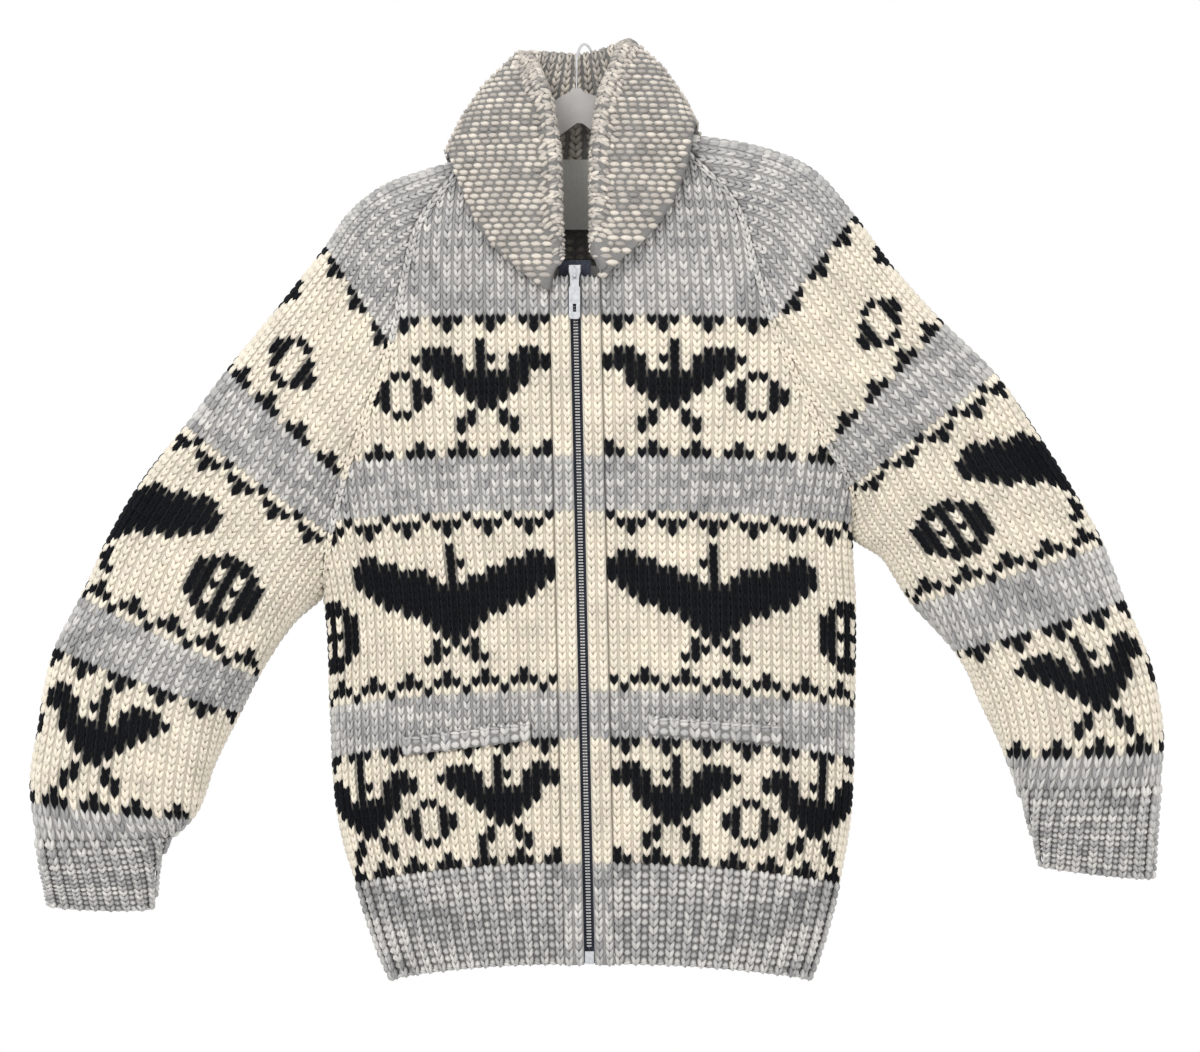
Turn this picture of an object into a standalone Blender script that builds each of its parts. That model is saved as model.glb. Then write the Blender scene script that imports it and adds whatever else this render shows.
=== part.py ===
"""Hand-knit Cowichan zip cardigan hanging on a plastic coat hanger.

Frame: metres, +Z up, the front faces -Y, +X is the right of somebody who looks at the front.
The origin is the inside top of the hanger's wire hook, where a rail or a wall hook carries it.
All the sizes in the tables are millimetres. Down is measured from that origin. Across and back are
measured from the garment's own middle: its middle plane lies in front of the origin, because the
hook leans back over the collar.
"""
import math

import bmesh
import bpy
import numpy as np

MM = 0.001

# ---------------------------------------------------------------- driving sizes
SEAM_GAP = 0.30            # space between two pieces that are sewn together
KNIT_WALL = 6.0            # thickness of the bulky knitted cloth
RIB_WALL = 7.0             # thickness of the ribbed hem and cuffs
COLLAR_WALL = 7.0          # thickness of one layer of the collar
ROW_PITCH = 6.73           # height of one knitted row
RIB_ROWS = 13              # rows of rib at the hem and at each cuff
BACK_SAG = 4.0             # how much lower the back hangs at its middle than at the side seams
HEM_BELOW = 806.0          # hem's lower edge at the zip, below the origin
SQUARENESS = 2.4           # exponent of the body's rounded section, 2 is an ellipse
SLEEVE_SQUARENESS = 2.3    # the same for the sleeves
ZIP_TOP = 207.0            # top of the zip
FRONT_TOP = 210.0          # top of the front edges, where the collar's ends begin
ZIP_TOP_X = -4.4           # the zip leans: its top is left of the origin
ZIP_LEAN = 0.0218          # and runs this far to the right for each millimetre down
FRONT_EDGE = 4.6           # from the zip's middle to the edge of each front
BAND_WIDTH = 17.0          # knitted edge band beside the zip
BAND_PROUD = 2.0           # and how far it stands out from the front
ARMPIT_ROW = 53            # sleeve row at which the underarm seam meets the raglan seam
NECK_ROW = 110             # sleeve row at the neck

# Width of each half of the body from the zip line to the side, at each distance below the origin.
# Above the armpit the section runs on inside the sleeve.
BODY_WIDTH = {
    -1: [  # (below, width)
        (84, 232), (117, 240), (160, 250), (230, 255), (318, 252), (380, 246), (440, 236), (485, 226.3),
        (520, 223), (582, 222), (705, 213), (749, 200), (811, 180), (842, 165)],
    1: [
        (84, 240), (117, 248), (160, 258), (230, 265), (280, 263), (340, 257), (390, 248), (435, 238.0),
        (494, 238.5), (582, 236), (705, 227), (749, 217), (811, 198), (842, 184)],
}
# Depth of the body's front and back surfaces from the middle plane.
BODY_DEPTH = [  # (below, front, back)
    (84, 30, 30), (117, 38, 36), (160, 48, 42), (230, 56, 48), (318, 59, 51), (400, 60, 53),
    (485, 61, 55), (582, 62, 56), (705, 60, 55), (749, 58, 54), (811, 54, 50), (842, 51, 47)]
# The knitted rows arch: how much lower each row lies at the side than at the zip.
ROW_DROP = [  # (row, drop)
    (0, 22), (13, 26), (29, 24), (35, 20), (58, 13), (65, 10), (83, 8), (110, 6)]
# Each sleeve row runs from the outer edge to the inner edge, which is the underarm up to
# ARMPIT_ROW and the raglan seam above it.
SLEEVE_ROWS = {
    -1: [  # (row, outer x, outer below, inner x, inner below, half depth)
        (0, -465, 762, -378, 765, 27),
        (13, -476, 703, -359, 701, 33),
        (16, -481, 671, -343, 685, 37),
        (24, -474, 601, -323, 636, 40),
        (32, -460, 536, -301, 592, 42),
        (38, -437, 491, -285, 560, 43),
        (46, -412, 437, -254, 513, 45),
        (53, -384, 390, -225, 485, 46),
        (61, -345, 341, -217, 436, 50),
        (68, -309, 293, -206, 390, 54),
        (77, -264, 238, -184, 330, 56),
        (86, -222, 184, -164, 272, 55),
        (94, -200, 153, -153, 218, 52),
        (102, -165, 128, -140, 168, 46),
        (110, -103, 109, -106, 121, 38)],
    1: [
        (0, 502, 738, 408, 728, 27),
        (13, 508, 656, 387, 659, 33),
        (16, 511, 627, 377, 632, 37),
        (24, 502, 557, 355, 584, 40),
        (32, 477, 494, 332, 538, 42),
        (38, 459, 446, 295, 497, 43),
        (46, 431, 396, 267, 455, 45),
        (53, 400, 347, 239, 435, 46),
        (61, 363, 295, 237, 394, 50),
        (68, 319, 252, 217, 359, 54),
        (77, 275, 204, 191, 307, 56),
        (86, 240, 157, 167, 253, 55),
        (94, 204, 117, 151, 199, 52),
        (102, 156, 97, 135, 149, 46),
        (110, 88, 86, 90, 100, 36)],
}
# Largest soft folds: a trough or a ridge pressed into the front (-1) or back (1) surface.
FOLDS = [  # (face, x, below, heading in degrees, half length, half width, depth; a ridge is negative)
    (-1, -190, 420, 62, 60, 13, 5.0),
    (-1, -168, 400, 70, 55, 12, -3.0),
    (-1, 205, 392, -60, 55, 13, 5.0),
    (-1, 184, 380, -68, 55, 12, -3.0),
    (-1, -128, 205, 72, 55, 11, 4.0),
    (-1, 122, 180, -68, 55, 11, 4.0),
    (-1, -300, 500, 58, 50, 16, 4.0),
    (-1, 330, 470, -52, 55, 16, 4.0),
    (-1, -120, 620, 84, 110, 30, -3.0),
    (-1, 130, 640, -86, 120, 32, -3.0),
    (-1, -380, 620, 70, 60, 20, -3.0),
    (-1, 430, 590, -66, 60, 20, -3.0),
    (1, -190, 410, 60, 60, 16, 5.0),
    (1, 200, 385, -60, 60, 16, 5.0),
    (1, -60, 560, 82, 120, 34, 4.0),
    (1, 80, 600, -84, 120, 36, 4.0),
    (1, -360, 560, 62, 60, 18, 4.0),
    (1, 380, 520, -58, 60, 18, 4.0),
]
# Shawl collar: for each station round the neck, the fold at its top, the free edge of the fall
# that lies over the yoke, and the seam of the stand inside the neckline.
COLLAR_STATIONS = [  # (fold x, y, below; fall x, y, below; stand x, y, below)
    (-20, -60, 204, -26, -63, 226, -40, -41, 198),
    (-21, -58, 184, -50, -62, 210, -50, -41, 184),
    (-22, -54, 152, -72, -57, 190, -61, -38, 168),
    (-23, -50, 108, -90, -51, 165, -76, -34, 150),
    (-30, -38, 62, -100, -47, 141, -87, -28, 134),
    (-38, -20, 37, -108, -45, 120, -93, -18, 119),
    (-46, -4, 22, -113, -30, 105, -95, -8, 108),
    (-50, 10, 16, -115, 8, 102, -94, 4, 104),
    (-40, 25, 13, -110, 46, 117, -86, 14, 108),
    (-20, 31, 14.5, -58, 47, 132, -46, 20, 110),
    (0, 32, 15, 0, 48, 136, 0, 22, 108),
    (20, 31, 11.5, 56, 48, 128, 46, 20, 104),
    (37, 25, 6, 105, 48, 99, 74, 14, 95),
    (42, 12, 5, 101, 8, 80, 79, 4, 84),
    (38, -4, 13, 99, -32, 82, 80, -8, 90),
    (30, -20, 34, 95, -48, 103, 79, -18, 104),
    (21, -38, 60, 89, -49, 126, 75, -28, 124),
    (16, -50, 108, 80, -52, 149, 65, -34, 142),
    (16, -54, 152, 63, -57, 174, 51, -38, 162),
    (16, -58, 184, 40, -62, 196, 43, -41, 182),
    (17, -60, 203, 18, -63, 216, 35, -40, 197),
]
# Pocket welts: from and to, measured round the front from the zip, and the welt's top edge.
POCKETS = {-1: (47, 158, 597, 611), 1: (55, 170, 592, 601)}  # (from, to, below at from, below at to)
WELT_HEIGHT = 15.0
WELT_WALL = 4.0


# ---------------------------------------------------------------- curves through the tables
def smooth(rows, column, at):
    """Smooth curve through one column of a table whose first column is the key."""
    keys = np.array([row[0] for row in rows], float)
    values = np.array([row[column] for row in rows], float)
    slopes = np.gradient(values, keys)
    at = np.clip(np.asarray(at, float), keys[0], keys[-1])
    i = np.clip(np.searchsorted(keys, at) - 1, 0, len(keys) - 2)
    step = keys[i + 1] - keys[i]
    t = (at - keys[i]) / step
    start = values[i] * (1 + 2 * t) * (1 - t) ** 2 + slopes[i] * step * t * (1 - t) ** 2
    end = values[i + 1] * t * t * (3 - 2 * t) + slopes[i + 1] * step * t * t * (t - 1)
    return start + end


def zip_x(below):
    return ZIP_TOP_X + ZIP_LEAN * (below - ZIP_TOP)


# ---------------------------------------------------------------- the body's rounded section
def quarter_outline(width, depth):
    """Polyline of the section from the middle of the front to the side, and its length so far."""
    angle = np.linspace(0, math.pi / 2, 65)
    power = 2 / SQUARENESS
    across = width * np.sin(angle) ** power
    out = depth * np.cos(angle) ** power
    arc = np.concatenate(([0], np.cumsum(np.hypot(np.diff(across), np.diff(out)))))
    return across, out, arc


def body_depth(face, below):
    return float(smooth(BODY_DEPTH, 1 if face < 0 else 2, below))


def body_point(side, face, arc, below):
    """Point of the body's surface, arc millimetres round from the zip line."""
    width = float(smooth(BODY_WIDTH[side], 1, below))
    across, out, length = quarter_outline(width, body_depth(face, below))
    x = zip_x(below) + side * np.interp(arc, length, across)
    y = face * np.interp(arc, length, out)
    return press(np.array([x, y, -below]), face)


def side_arc(side, face, below):
    width = float(smooth(BODY_WIDTH[side], 1, below))
    return quarter_outline(width, body_depth(face, below))[2][-1]


def raglan_rows(side):
    """Raglan seam as (below, x) rows, from the neck down to the armpit."""
    seam = [(row[4], row[3]) for row in SLEEVE_ROWS[side] if row[0] >= ARMPIT_ROW]
    return sorted(seam)


def raglan_x(side, below):
    return float(smooth(raglan_rows(side), 1, below))


def raglan_arc(side, face, below):
    """Where the raglan seam lies, measured round from the zip line."""
    width = float(smooth(BODY_WIDTH[side], 1, below))
    across, _, length = quarter_outline(width, body_depth(face, below))
    reach = side * (raglan_x(side, below) - zip_x(below))
    return float(np.interp(reach, across, length))


def seam_away(side, row):
    """Level direction square to the raglan seam, from the body's side to the sleeve's."""
    rows = SLEEVE_ROWS[side]
    near = np.clip(np.array([row - 0.5, row + 0.5]), ARMPIT_ROW, NECK_ROW)
    x, below = smooth(rows, 3, near), smooth(rows, 4, near)
    away = np.array([below[1] - below[0], 0, x[1] - x[0]])
    away *= side * math.copysign(1.0, away[0])
    return away / np.linalg.norm(away)


def press(point, face):
    """Moves a point of the front or back surface by the soft folds."""
    shift = 0.0
    for fold_face, x, below, heading, length, width, depth in FOLDS:
        if fold_face != face:
            continue
        dx = point[0] - x
        dz = -point[2] - below
        angle = math.radians(heading)
        along = dx * math.cos(angle) + dz * math.sin(angle)
        aside = dz * math.cos(angle) - dx * math.sin(angle)
        shift += depth * math.exp(-(along / length) ** 2 - (aside / width) ** 2)
    return point - np.array([0, face * shift * min(1.0, abs(point[1]) / 30.0), 0])


# ---------------------------------------------------------------- the sleeves' rounded section
def sleeve_point(side, face, row, turn):
    """Point of a sleeve row, turn 0 at the outer edge and 1 at the inner edge."""
    rows = SLEEVE_ROWS[side]
    outer_x, outer_below, inner_x, inner_below, depth = (float(smooth(rows, c, row)) for c in range(1, 6))
    seam_depth = 0.0
    if row > ARMPIT_ROW:
        inner_x = raglan_x(side, inner_below)
        width = float(smooth(BODY_WIDTH[side], 1, inner_below))
        across, out, _ = quarter_outline(width, body_depth(face, inner_below))
        reach = side * (inner_x - zip_x(inner_below))
        seam_depth = float(np.interp(reach, across, out))
    power = 2 / SLEEVE_SQUARENESS
    depth = max(depth, seam_depth * 1.01)
    last = math.pi - math.asin((seam_depth / depth) ** (1 / power))
    angle = turn * last
    out = depth * math.sin(angle) ** power if 0 < angle < math.pi else 0.0
    part = round_share(angle, power) / round_share(last, power)
    x = outer_x + (inner_x - outer_x) * part
    below = outer_below + (inner_below - outer_below) * part
    return press(np.array([x, face * out, -below]), face)


def round_share(angle, power):
    cosine = math.cos(angle)
    return (1 - math.copysign(abs(cosine) ** power, cosine)) / 2


# ---------------------------------------------------------------- solids
def material(name, colour, roughness, metallic=0.0):
    made = bpy.data.materials.new(name)
    made.use_nodes = True
    shader = made.node_tree.nodes["Principled BSDF"]
    shader.inputs["Base Color"].default_value = (*colour, 1)
    shader.inputs["Roughness"].default_value = roughness
    shader.inputs["Metallic"].default_value = metallic
    return made


UP = (0, 0, 1)


def add_object(name, points, faces, made, smooth_shaded=True, origin=None):
    """Mesh object from points in millimetres; its origin may lie on a joint's axis."""
    mesh = bpy.data.meshes.new(name)
    origin = hook_seat() if origin is None else origin
    moved = [tuple((c - o) * MM for c, o in zip(point, origin)) for point in points]
    mesh.from_pydata(moved, [], faces)
    mesh.update()
    solid = bmesh.new()
    solid.from_mesh(mesh)
    bmesh.ops.recalc_face_normals(solid, faces=solid.faces)
    bmesh.ops.triangulate(solid, faces=solid.faces)
    solid.to_mesh(mesh)
    solid.free()
    if smooth_shaded:
        mesh.shade_smooth()
        mesh.set_sharp_from_angle(angle=math.radians(50))
    mesh.materials.append(made)
    made_object = bpy.data.objects.new(name, mesh)
    made_object.location = tuple((c - s) * MM for c, s in zip(origin, hook_seat()))
    bpy.context.collection.objects.link(made_object)
    return made_object


def grid_normals(grid, outward):
    """Unit normal at each point of a grid; outward gives a rough direction at each point."""
    down = np.gradient(grid, axis=0)
    along = np.gradient(grid, axis=1)
    normals = np.cross(down, along)
    normals /= np.linalg.norm(normals, axis=2, keepdims=True)
    if np.sum(normals * outward) < 0:
        normals = -normals
    return normals


def square_to(normals, axis):
    """Turns normals until they stand square to an axis, so that two pieces meet flush there."""
    axis = np.asarray(axis, float) / np.linalg.norm(axis)
    squared = normals - np.sum(normals * axis, axis=-1, keepdims=True) * axis
    return squared / np.linalg.norm(squared, axis=-1, keepdims=True)


def cloth_solid(name, grid, outward, wall, made, joints=(), mitres=None):
    """Wall of cloth whose outer face is the grid and whose inner face is moved in by its thickness.

    joints gives (row, axis) where another piece carries on along the axis. mitres gives, for an
    edge column, the normals of its last rows. Where a side edge lies in the middle plane, it
    meets its neighbour there.
    """
    rows, columns, _ = grid.shape
    normals = grid_normals(grid, outward)
    for row, axis in joints:
        normals[row] = square_to(normals[row], axis)
    for column, shared in (mitres or {}).items():
        for back_from_end, normal in enumerate(reversed(shared)):
            if normal is not None:
                normals[rows - 1 - back_from_end, column] = normal
    for column in (0, -1):
        for row in range(rows):
            if abs(grid[row, column, 1]) < 1.0:
                normals[row, column] = square_to(normals[row, column], (0, 1, 0))
    inner = grid - normals * wall
    points = list(grid.reshape(-1, 3)) + list(inner.reshape(-1, 3))
    shift = rows * columns
    faces = []
    for r in range(rows - 1):
        for c in range(columns - 1):
            a = r * columns + c
            quad = [a, a + 1, a + columns + 1, a + columns]
            faces.append(quad)
            faces.append([shift + k for k in reversed(quad)])
    rim = [c for c in range(columns)]
    rim += [r * columns + columns - 1 for r in range(1, rows)]
    rim += [(rows - 1) * columns + c for c in range(columns - 2, -1, -1)]
    rim += [r * columns for r in range(rows - 2, 0, -1)]
    for a, b in zip(rim, rim[1:] + rim[:1]):
        faces.append([a, shift + a, shift + b, b])
    return add_object(name, points, faces, made)


def swept_solid(name, rings, made, closed=False, smooth_shaded=True, origin=None):
    """Solid through rings of equal point count, capped at both ends unless it closes on itself."""
    count = len(rings[0])
    points = [point for ring in rings for point in ring]
    faces = []
    pairs = list(zip(range(len(rings) - 1), range(1, len(rings))))
    if closed:
        pairs.append((len(rings) - 1, 0))
    for a, b in pairs:
        for k in range(count):
            n = (k + 1) % count
            faces.append([a * count + k, a * count + n, b * count + n, b * count + k])
    if not closed:
        faces.append(list(range(count)))
        faces.append([(len(rings) - 1) * count + k for k in range(count)])
    return add_object(name, points, faces, made, smooth_shaded, origin)


def box_solid(name, low, high, made, origin=None):
    ring = [(low[0], low[1]), (high[0], low[1]), (high[0], high[1]), (low[0], high[1])]
    rings = [[(x, y, z) for x, y in ring] for z in (low[2], high[2])]
    return swept_solid(name, rings, made, smooth_shaded=False, origin=origin)


# ---------------------------------------------------------------- body panels
def row_below(row):
    """Distance below the origin of a knitted row at the zip."""
    return HEM_BELOW - ROW_PITCH * row


def rib_level(face, row):
    """How far below the origin a row of the hem rib lies, at the middle and at the side seam."""
    edge = row_below(row) + float(smooth(ROW_DROP, 1, row))
    return (row_below(row) if face < 0 else edge + BACK_SAG), edge


RAGLAN_LEVELS = 12


def panel_levels(side, face):
    """Level lines of a panel as (below at the middle, below at the edge, sleeve row it meets)."""
    armpit_edge = float(smooth(SLEEVE_ROWS[side], 4, ARMPIT_ROW))
    armpit_middle = armpit_edge - 15
    if face > 0:
        armpit_middle = 445.0
    top_middle = FRONT_TOP if face < 0 else 99.0
    levels = []
    rib_middle, rib_edge = (below - 1.6 * SEAM_GAP for below in rib_level(face, RIB_ROWS))
    for share in np.linspace(0, 1, 7)[:-1]:
        middle = rib_middle + (armpit_middle - rib_middle) * share
        edge = rib_edge + (armpit_edge - rib_edge) * share
        levels.append((middle, edge, None))
    upper = np.linspace(ARMPIT_ROW, NECK_ROW, RAGLAN_LEVELS)
    for row in upper:
        share = (row - ARMPIT_ROW) / (NECK_ROW - ARMPIT_ROW)
        middle = armpit_middle + (top_middle - armpit_middle) * share
        levels.append((middle, float(smooth(SLEEVE_ROWS[side], 4, row)), row))
    return levels


def panel_row(side, face, level, start, columns):
    """Points of one level line from start millimetres off the zip line to the panel's edge."""
    middle, edge, row = level
    on_raglan = row is not None and row > ARMPIT_ROW
    arch = 1.0 if edge < middle - 60 else 2.0 - max(0.0, middle - edge) / 60
    points = []
    for share in np.linspace(0, 1, columns):
        below = middle + (edge - middle) * share ** arch
        if on_raglan:
            end = raglan_arc(side, face, below if share > 0.5 else max(below, edge))
        else:
            end = side_arc(side, face, below)
        end -= SEAM_GAP / 2
        spread = share * (1.15 - 0.15 * share)
        spread = spread if not on_raglan else share
        point = body_point(side, face, start + (end - start) * spread, below)
        if row is not None and share == 1:
            point -= seam_away(side, row) * (SEAM_GAP * 0.7 if row < NECK_ROW else 2.0)
        points.append(point)
    return points


def panel_grid(side, face):
    start = FRONT_EDGE + BAND_WIDTH + SEAM_GAP if face < 0 else 0.0
    return np.array([panel_row(side, face, level, start, 9) for level in panel_levels(side, face)])


def raglan_normals(side, face):
    """Shared normals along the raglan seam, so that panel and sleeve meet at a mitre."""
    panel = grid_normals(panel_grid(side, face), np.array([0, face, 0]))[1 - RAGLAN_LEVELS:, -1]
    lines, outward = sleeve_grid(side, sleeve_rows(), 9)
    cloth = grid_normals(lines, outward)[1 - RAGLAN_LEVELS:, 0 if face < 0 else -1]
    shared = panel + cloth
    shared /= np.linalg.norm(shared, axis=1, keepdims=True)
    folded = np.sum(panel * cloth, axis=1) < 0.2
    return [None if fold else normal for fold, normal in zip(folded, shared)]


def front_panel(side, made):
    name = "front_left" if side < 0 else "front_right"
    return cloth_solid(name, panel_grid(side, -1), np.array([0, -1, 0]), KNIT_WALL, made, [(0, UP)],
                       {-1: raglan_normals(side, -1)})


def back_panel(made):
    left, right = panel_grid(-1, 1), panel_grid(1, 1)
    grid = np.concatenate((left[:, :0:-1], right), axis=1)
    return cloth_solid("back", grid, np.array([0, 1, 0]), KNIT_WALL, made, [(0, UP)],
                       {0: raglan_normals(-1, 1), -1: raglan_normals(1, 1)})


def hem_row(side, face, row, start, columns):
    middle, edge = rib_level(face, row)
    return panel_row(side, face, (middle, edge, None), start, columns)


def hem_solids(made):
    levels = (0, RIB_ROWS / 2, RIB_ROWS)
    start = FRONT_EDGE + BAND_WIDTH + SEAM_GAP
    for side, name in ((-1, "hem_rib_left"), (1, "hem_rib_right")):
        grid = np.array([hem_row(side, -1, row, start, 9) for row in levels])
        cloth_solid(name, grid, np.array([0, -1, 0]), RIB_WALL, made, [(-1, UP)])
    rows = [hem_row(-1, 1, row, 0.0, 9)[:0:-1] + hem_row(1, 1, row, 0.0, 9) for row in levels]
    cloth_solid("hem_rib_back", np.array(rows), np.array([0, 1, 0]), RIB_WALL, made, [(-1, UP)])


def front_band(side, made):
    """Edge band beside the zip, a little proud of the front that it is knitted to."""
    arcs = (FRONT_EDGE, FRONT_EDGE + BAND_WIDTH / 2, FRONT_EDGE + BAND_WIDTH)
    rows = []
    for below in np.linspace(row_below(0), FRONT_TOP, 14):
        line = [body_point(side, -1, arc, below + arc * 0.04) for arc in arcs]
        rows.append([point + np.array([0, -BAND_PROUD, 0]) for point in line])
    name = "front_band_left" if side < 0 else "front_band_right"
    return cloth_solid(name, np.array(rows), np.array([0, -1, 0]), KNIT_WALL + BAND_PROUD, made)


def pocket_welt(side, made):
    """Ribbed edge of the pocket mouth, laid on the front's own surface."""
    start, end, below_start, below_end = POCKETS[side]
    rows = []
    for drop in (0.0, WELT_HEIGHT / 2, WELT_HEIGHT):
        line = []
        for share in np.linspace(0, 1, 9):
            below = below_start + (below_end - below_start) * share + drop
            point = body_point(side, -1, start + (end - start) * share, below)
            line.append(point + np.array([0, -(WELT_WALL + 0.6), 0]))
        rows.append(line)
    name = "pocket_welt_left" if side < 0 else "pocket_welt_right"
    return cloth_solid(name, np.array(rows), np.array([0, -1, 0]), WELT_WALL, made)


# ---------------------------------------------------------------- sleeves
def sleeve_grid(side, rows, columns):
    """Rows of points from the front inner edge over the outer edge to the back inner edge."""
    grid = []
    axis = []
    for row in rows:
        front = [sleeve_point(side, -1, row, turn) for turn in np.linspace(1, 0, columns)]
        back = [sleeve_point(side, 1, row, turn) for turn in np.linspace(0, 1, columns)[1:]]
        line = np.array(front + back)
        middle = (line[0] + line[columns - 1]) / 2
        middle[1] = 0
        for index, face in ((0, -1), (-1, 1)):
            if row >= ARMPIT_ROW:
                line[index] += seam_away(side, row) * SEAM_GAP * 0.7
            if row <= ARMPIT_ROW:
                line[index, 1] = face * SEAM_GAP / 2
        grid.append(line)
        axis.append(line - middle)
    return np.array(grid), np.array(axis)


def sleeve_rows():
    return [RIB_ROWS + 0.1, 20, 28, 36, 44] + list(np.linspace(ARMPIT_ROW, NECK_ROW, RAGLAN_LEVELS))


def sleeve(side, made):
    grid, outward = sleeve_grid(side, sleeve_rows(), 9)
    name = "sleeve_left" if side < 0 else "sleeve_right"
    return cloth_solid(name, grid, outward, KNIT_WALL, made, [(0, cuff_axis(side))],
                       {0: raglan_normals(side, -1), -1: raglan_normals(side, 1)})


def cuff(side, made):
    grid, outward = sleeve_grid(side, (0, RIB_ROWS / 2, RIB_ROWS), 9)
    name = "cuff_left" if side < 0 else "cuff_right"
    return cloth_solid(name, grid, outward, RIB_WALL, made, [(-1, cuff_axis(side))])


def cuff_axis(side):
    """Direction of the sleeve where the cuff joins it."""
    low, high = (sum(sleeve_point(side, -1, row, turn) for turn in (0, 1)) / 2
                 for row in (RIB_ROWS - 1, RIB_ROWS + 1))
    return high - low


# ---------------------------------------------------------------- collar
FOLD_RADIUS = 6.0
COLLAR_RINGS = 31


def collar_profile(fold, fall, stand, inward):
    """Middle line of the collar's section: up the stand, round the fold and down the fall."""
    fall_dir = (fall - fold) / np.linalg.norm(fall - fold)
    stand_dir = (stand - fold) / np.linalg.norm(stand - fold)
    away = -inward
    start_in = fold + inward * FOLD_RADIUS
    start_out = fold + away * FOLD_RADIUS
    top = fold - (fall_dir + stand_dir) / np.linalg.norm(fall_dir + stand_dir) * FOLD_RADIUS * 0.8
    swell = np.linalg.norm(fall - fold) * 0.06
    return [
        stand,
        (stand + start_in) / 2 + inward * 1.0,
        start_in + stand_dir * FOLD_RADIUS,
        start_in + (top - fold) * 0.5,
        top,
        start_out + (top - fold) * 0.5,
        start_out + fall_dir * FOLD_RADIUS,
        start_out + (fall - start_out) * 0.35 + away * swell,
        start_out + (fall - start_out) * 0.7 + away * swell * 0.9,
        fall,
    ]


def collar(made):
    rows = [(index, *row) for index, row in enumerate(COLLAR_STATIONS)]
    at = np.linspace(0, len(rows) - 1, COLLAR_RINGS)
    stations = np.transpose([smooth(rows, column, at) for column in range(1, 10)])
    folds = np.array([(s[0], s[1], -s[2]) for s in stations])
    falls = np.array([(s[3], s[4], -s[5]) for s in stations])
    stands = np.array([(s[6], s[7], -s[8]) for s in stations])
    tangents = np.gradient(folds, axis=0)
    rings = []
    for fold, fall, stand, tangent in zip(folds, falls, stands, tangents):
        tangent = tangent / np.linalg.norm(tangent)
        inward = (stand - fall) - tangent * np.dot(stand - fall, tangent)
        middle = (fall + stand) / 2 - fold
        middle /= np.linalg.norm(middle)
        inward -= middle * np.dot(inward, middle)
        inward /= np.linalg.norm(inward)
        line = np.array(collar_profile(fold, fall, stand, inward))
        along = np.gradient(line, axis=0)
        along /= np.linalg.norm(along, axis=1, keepdims=True)
        across = np.cross(along, tangent)
        across /= np.linalg.norm(across, axis=1, keepdims=True)
        ring = list(line + across * COLLAR_WALL / 2) + list((line - across * COLLAR_WALL / 2)[::-1])
        rings.append(ring)
    return swept_solid("collar", rings, made)


# ---------------------------------------------------------------- zip
TAPE_WIDTH = 14.0
TAPE_WALL = 1.0
TEETH_WIDTH = 2.7
TEETH_WALL = 2.6
ZIP_RECESS = 3.0           # teeth lie this far behind the front's surface
SLIDER_BELOW = 204.0       # top of the slider
SLIDER_SIZE = (11.0, 6.0, 15.0)
BAIL_BAR = 1.7             # thickness of the wire loop on the slider
BAIL_OPENING = 3.2         # space between the loop and the slider's face
PULL_WIDTH = 9.6
PULL_WALL = 1.6
PULL_LENGTH = 38.0
PULL_EYE = 4.8             # from the hinge to the lower end of the eye
ZIP_BOX = (9.0, 5.0, 11.0)


def zip_front(below):
    """Y of the front surface on the zip line."""
    return -body_depth(-1, below)


def zip_strip(name, side, inner, outer, front, wall, top, bottom, made):
    """Straight-sided strip along the zip line; front is its face, measured in from the cloth's face."""
    rings = []
    stations = [b for b in np.linspace(row_below(0), ZIP_TOP - 8, 14) if top + 2 < b < bottom - 2]
    for below in [bottom] + stations + [top]:
        x0 = zip_x(below) + side * inner
        x1 = zip_x(below) + side * outer
        y0 = zip_front(below) + front
        y1 = y0 + wall
        rings.append([(x0, y0, -below), (x1, y0, -below), (x1, y1, -below), (x0, y1, -below)])
    return swept_solid(name, rings, made, smooth_shaded=False)


def zip_parts(tape, teeth, silver):
    bottom = row_below(0)
    tape_front = KNIT_WALL + SEAM_GAP + 0.2
    for side, end in ((-1, "left"), (1, "right")):
        zip_strip("zip_tape_" + end, side, 0.2, TAPE_WIDTH, tape_front, TAPE_WALL,
                  ZIP_TOP - 8, bottom, tape)
        zip_strip("zip_teeth_" + end, side, 0.2, TEETH_WIDTH, tape_front - SEAM_GAP - TEETH_WALL, TEETH_WALL,
                  SLIDER_BELOW + SLIDER_SIZE[2] + 1, bottom - ZIP_BOX[2] - 1, teeth)
    below = bottom - ZIP_BOX[2] / 2
    half_x, half_z = ZIP_BOX[0] / 2, ZIP_BOX[2] / 2
    front = zip_front(below) + tape_front - 2 * SEAM_GAP - ZIP_BOX[1]
    low = (zip_x(below) - half_x + 0.6, front, -below - half_z)
    high = (zip_x(below) + half_x - 0.6, front + ZIP_BOX[1], -below + half_z)
    box_solid("zip_box", low, high, silver)


def slider_frame():
    """Middle of the slider: x, the y of its face and of its back, and its top and bottom."""
    below = SLIDER_BELOW + SLIDER_SIZE[2] / 2
    x = zip_x(below)
    back = zip_front(below) + KNIT_WALL - 0.6
    face = zip_front(below) - BAND_PROUD - 2.2
    return x, face, back, -SLIDER_BELOW, -SLIDER_BELOW - SLIDER_SIZE[2]


def hinge_centre():
    x, face, _, top, _ = slider_frame()
    return x, face - BAIL_OPENING / 2, top - 8.6


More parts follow.
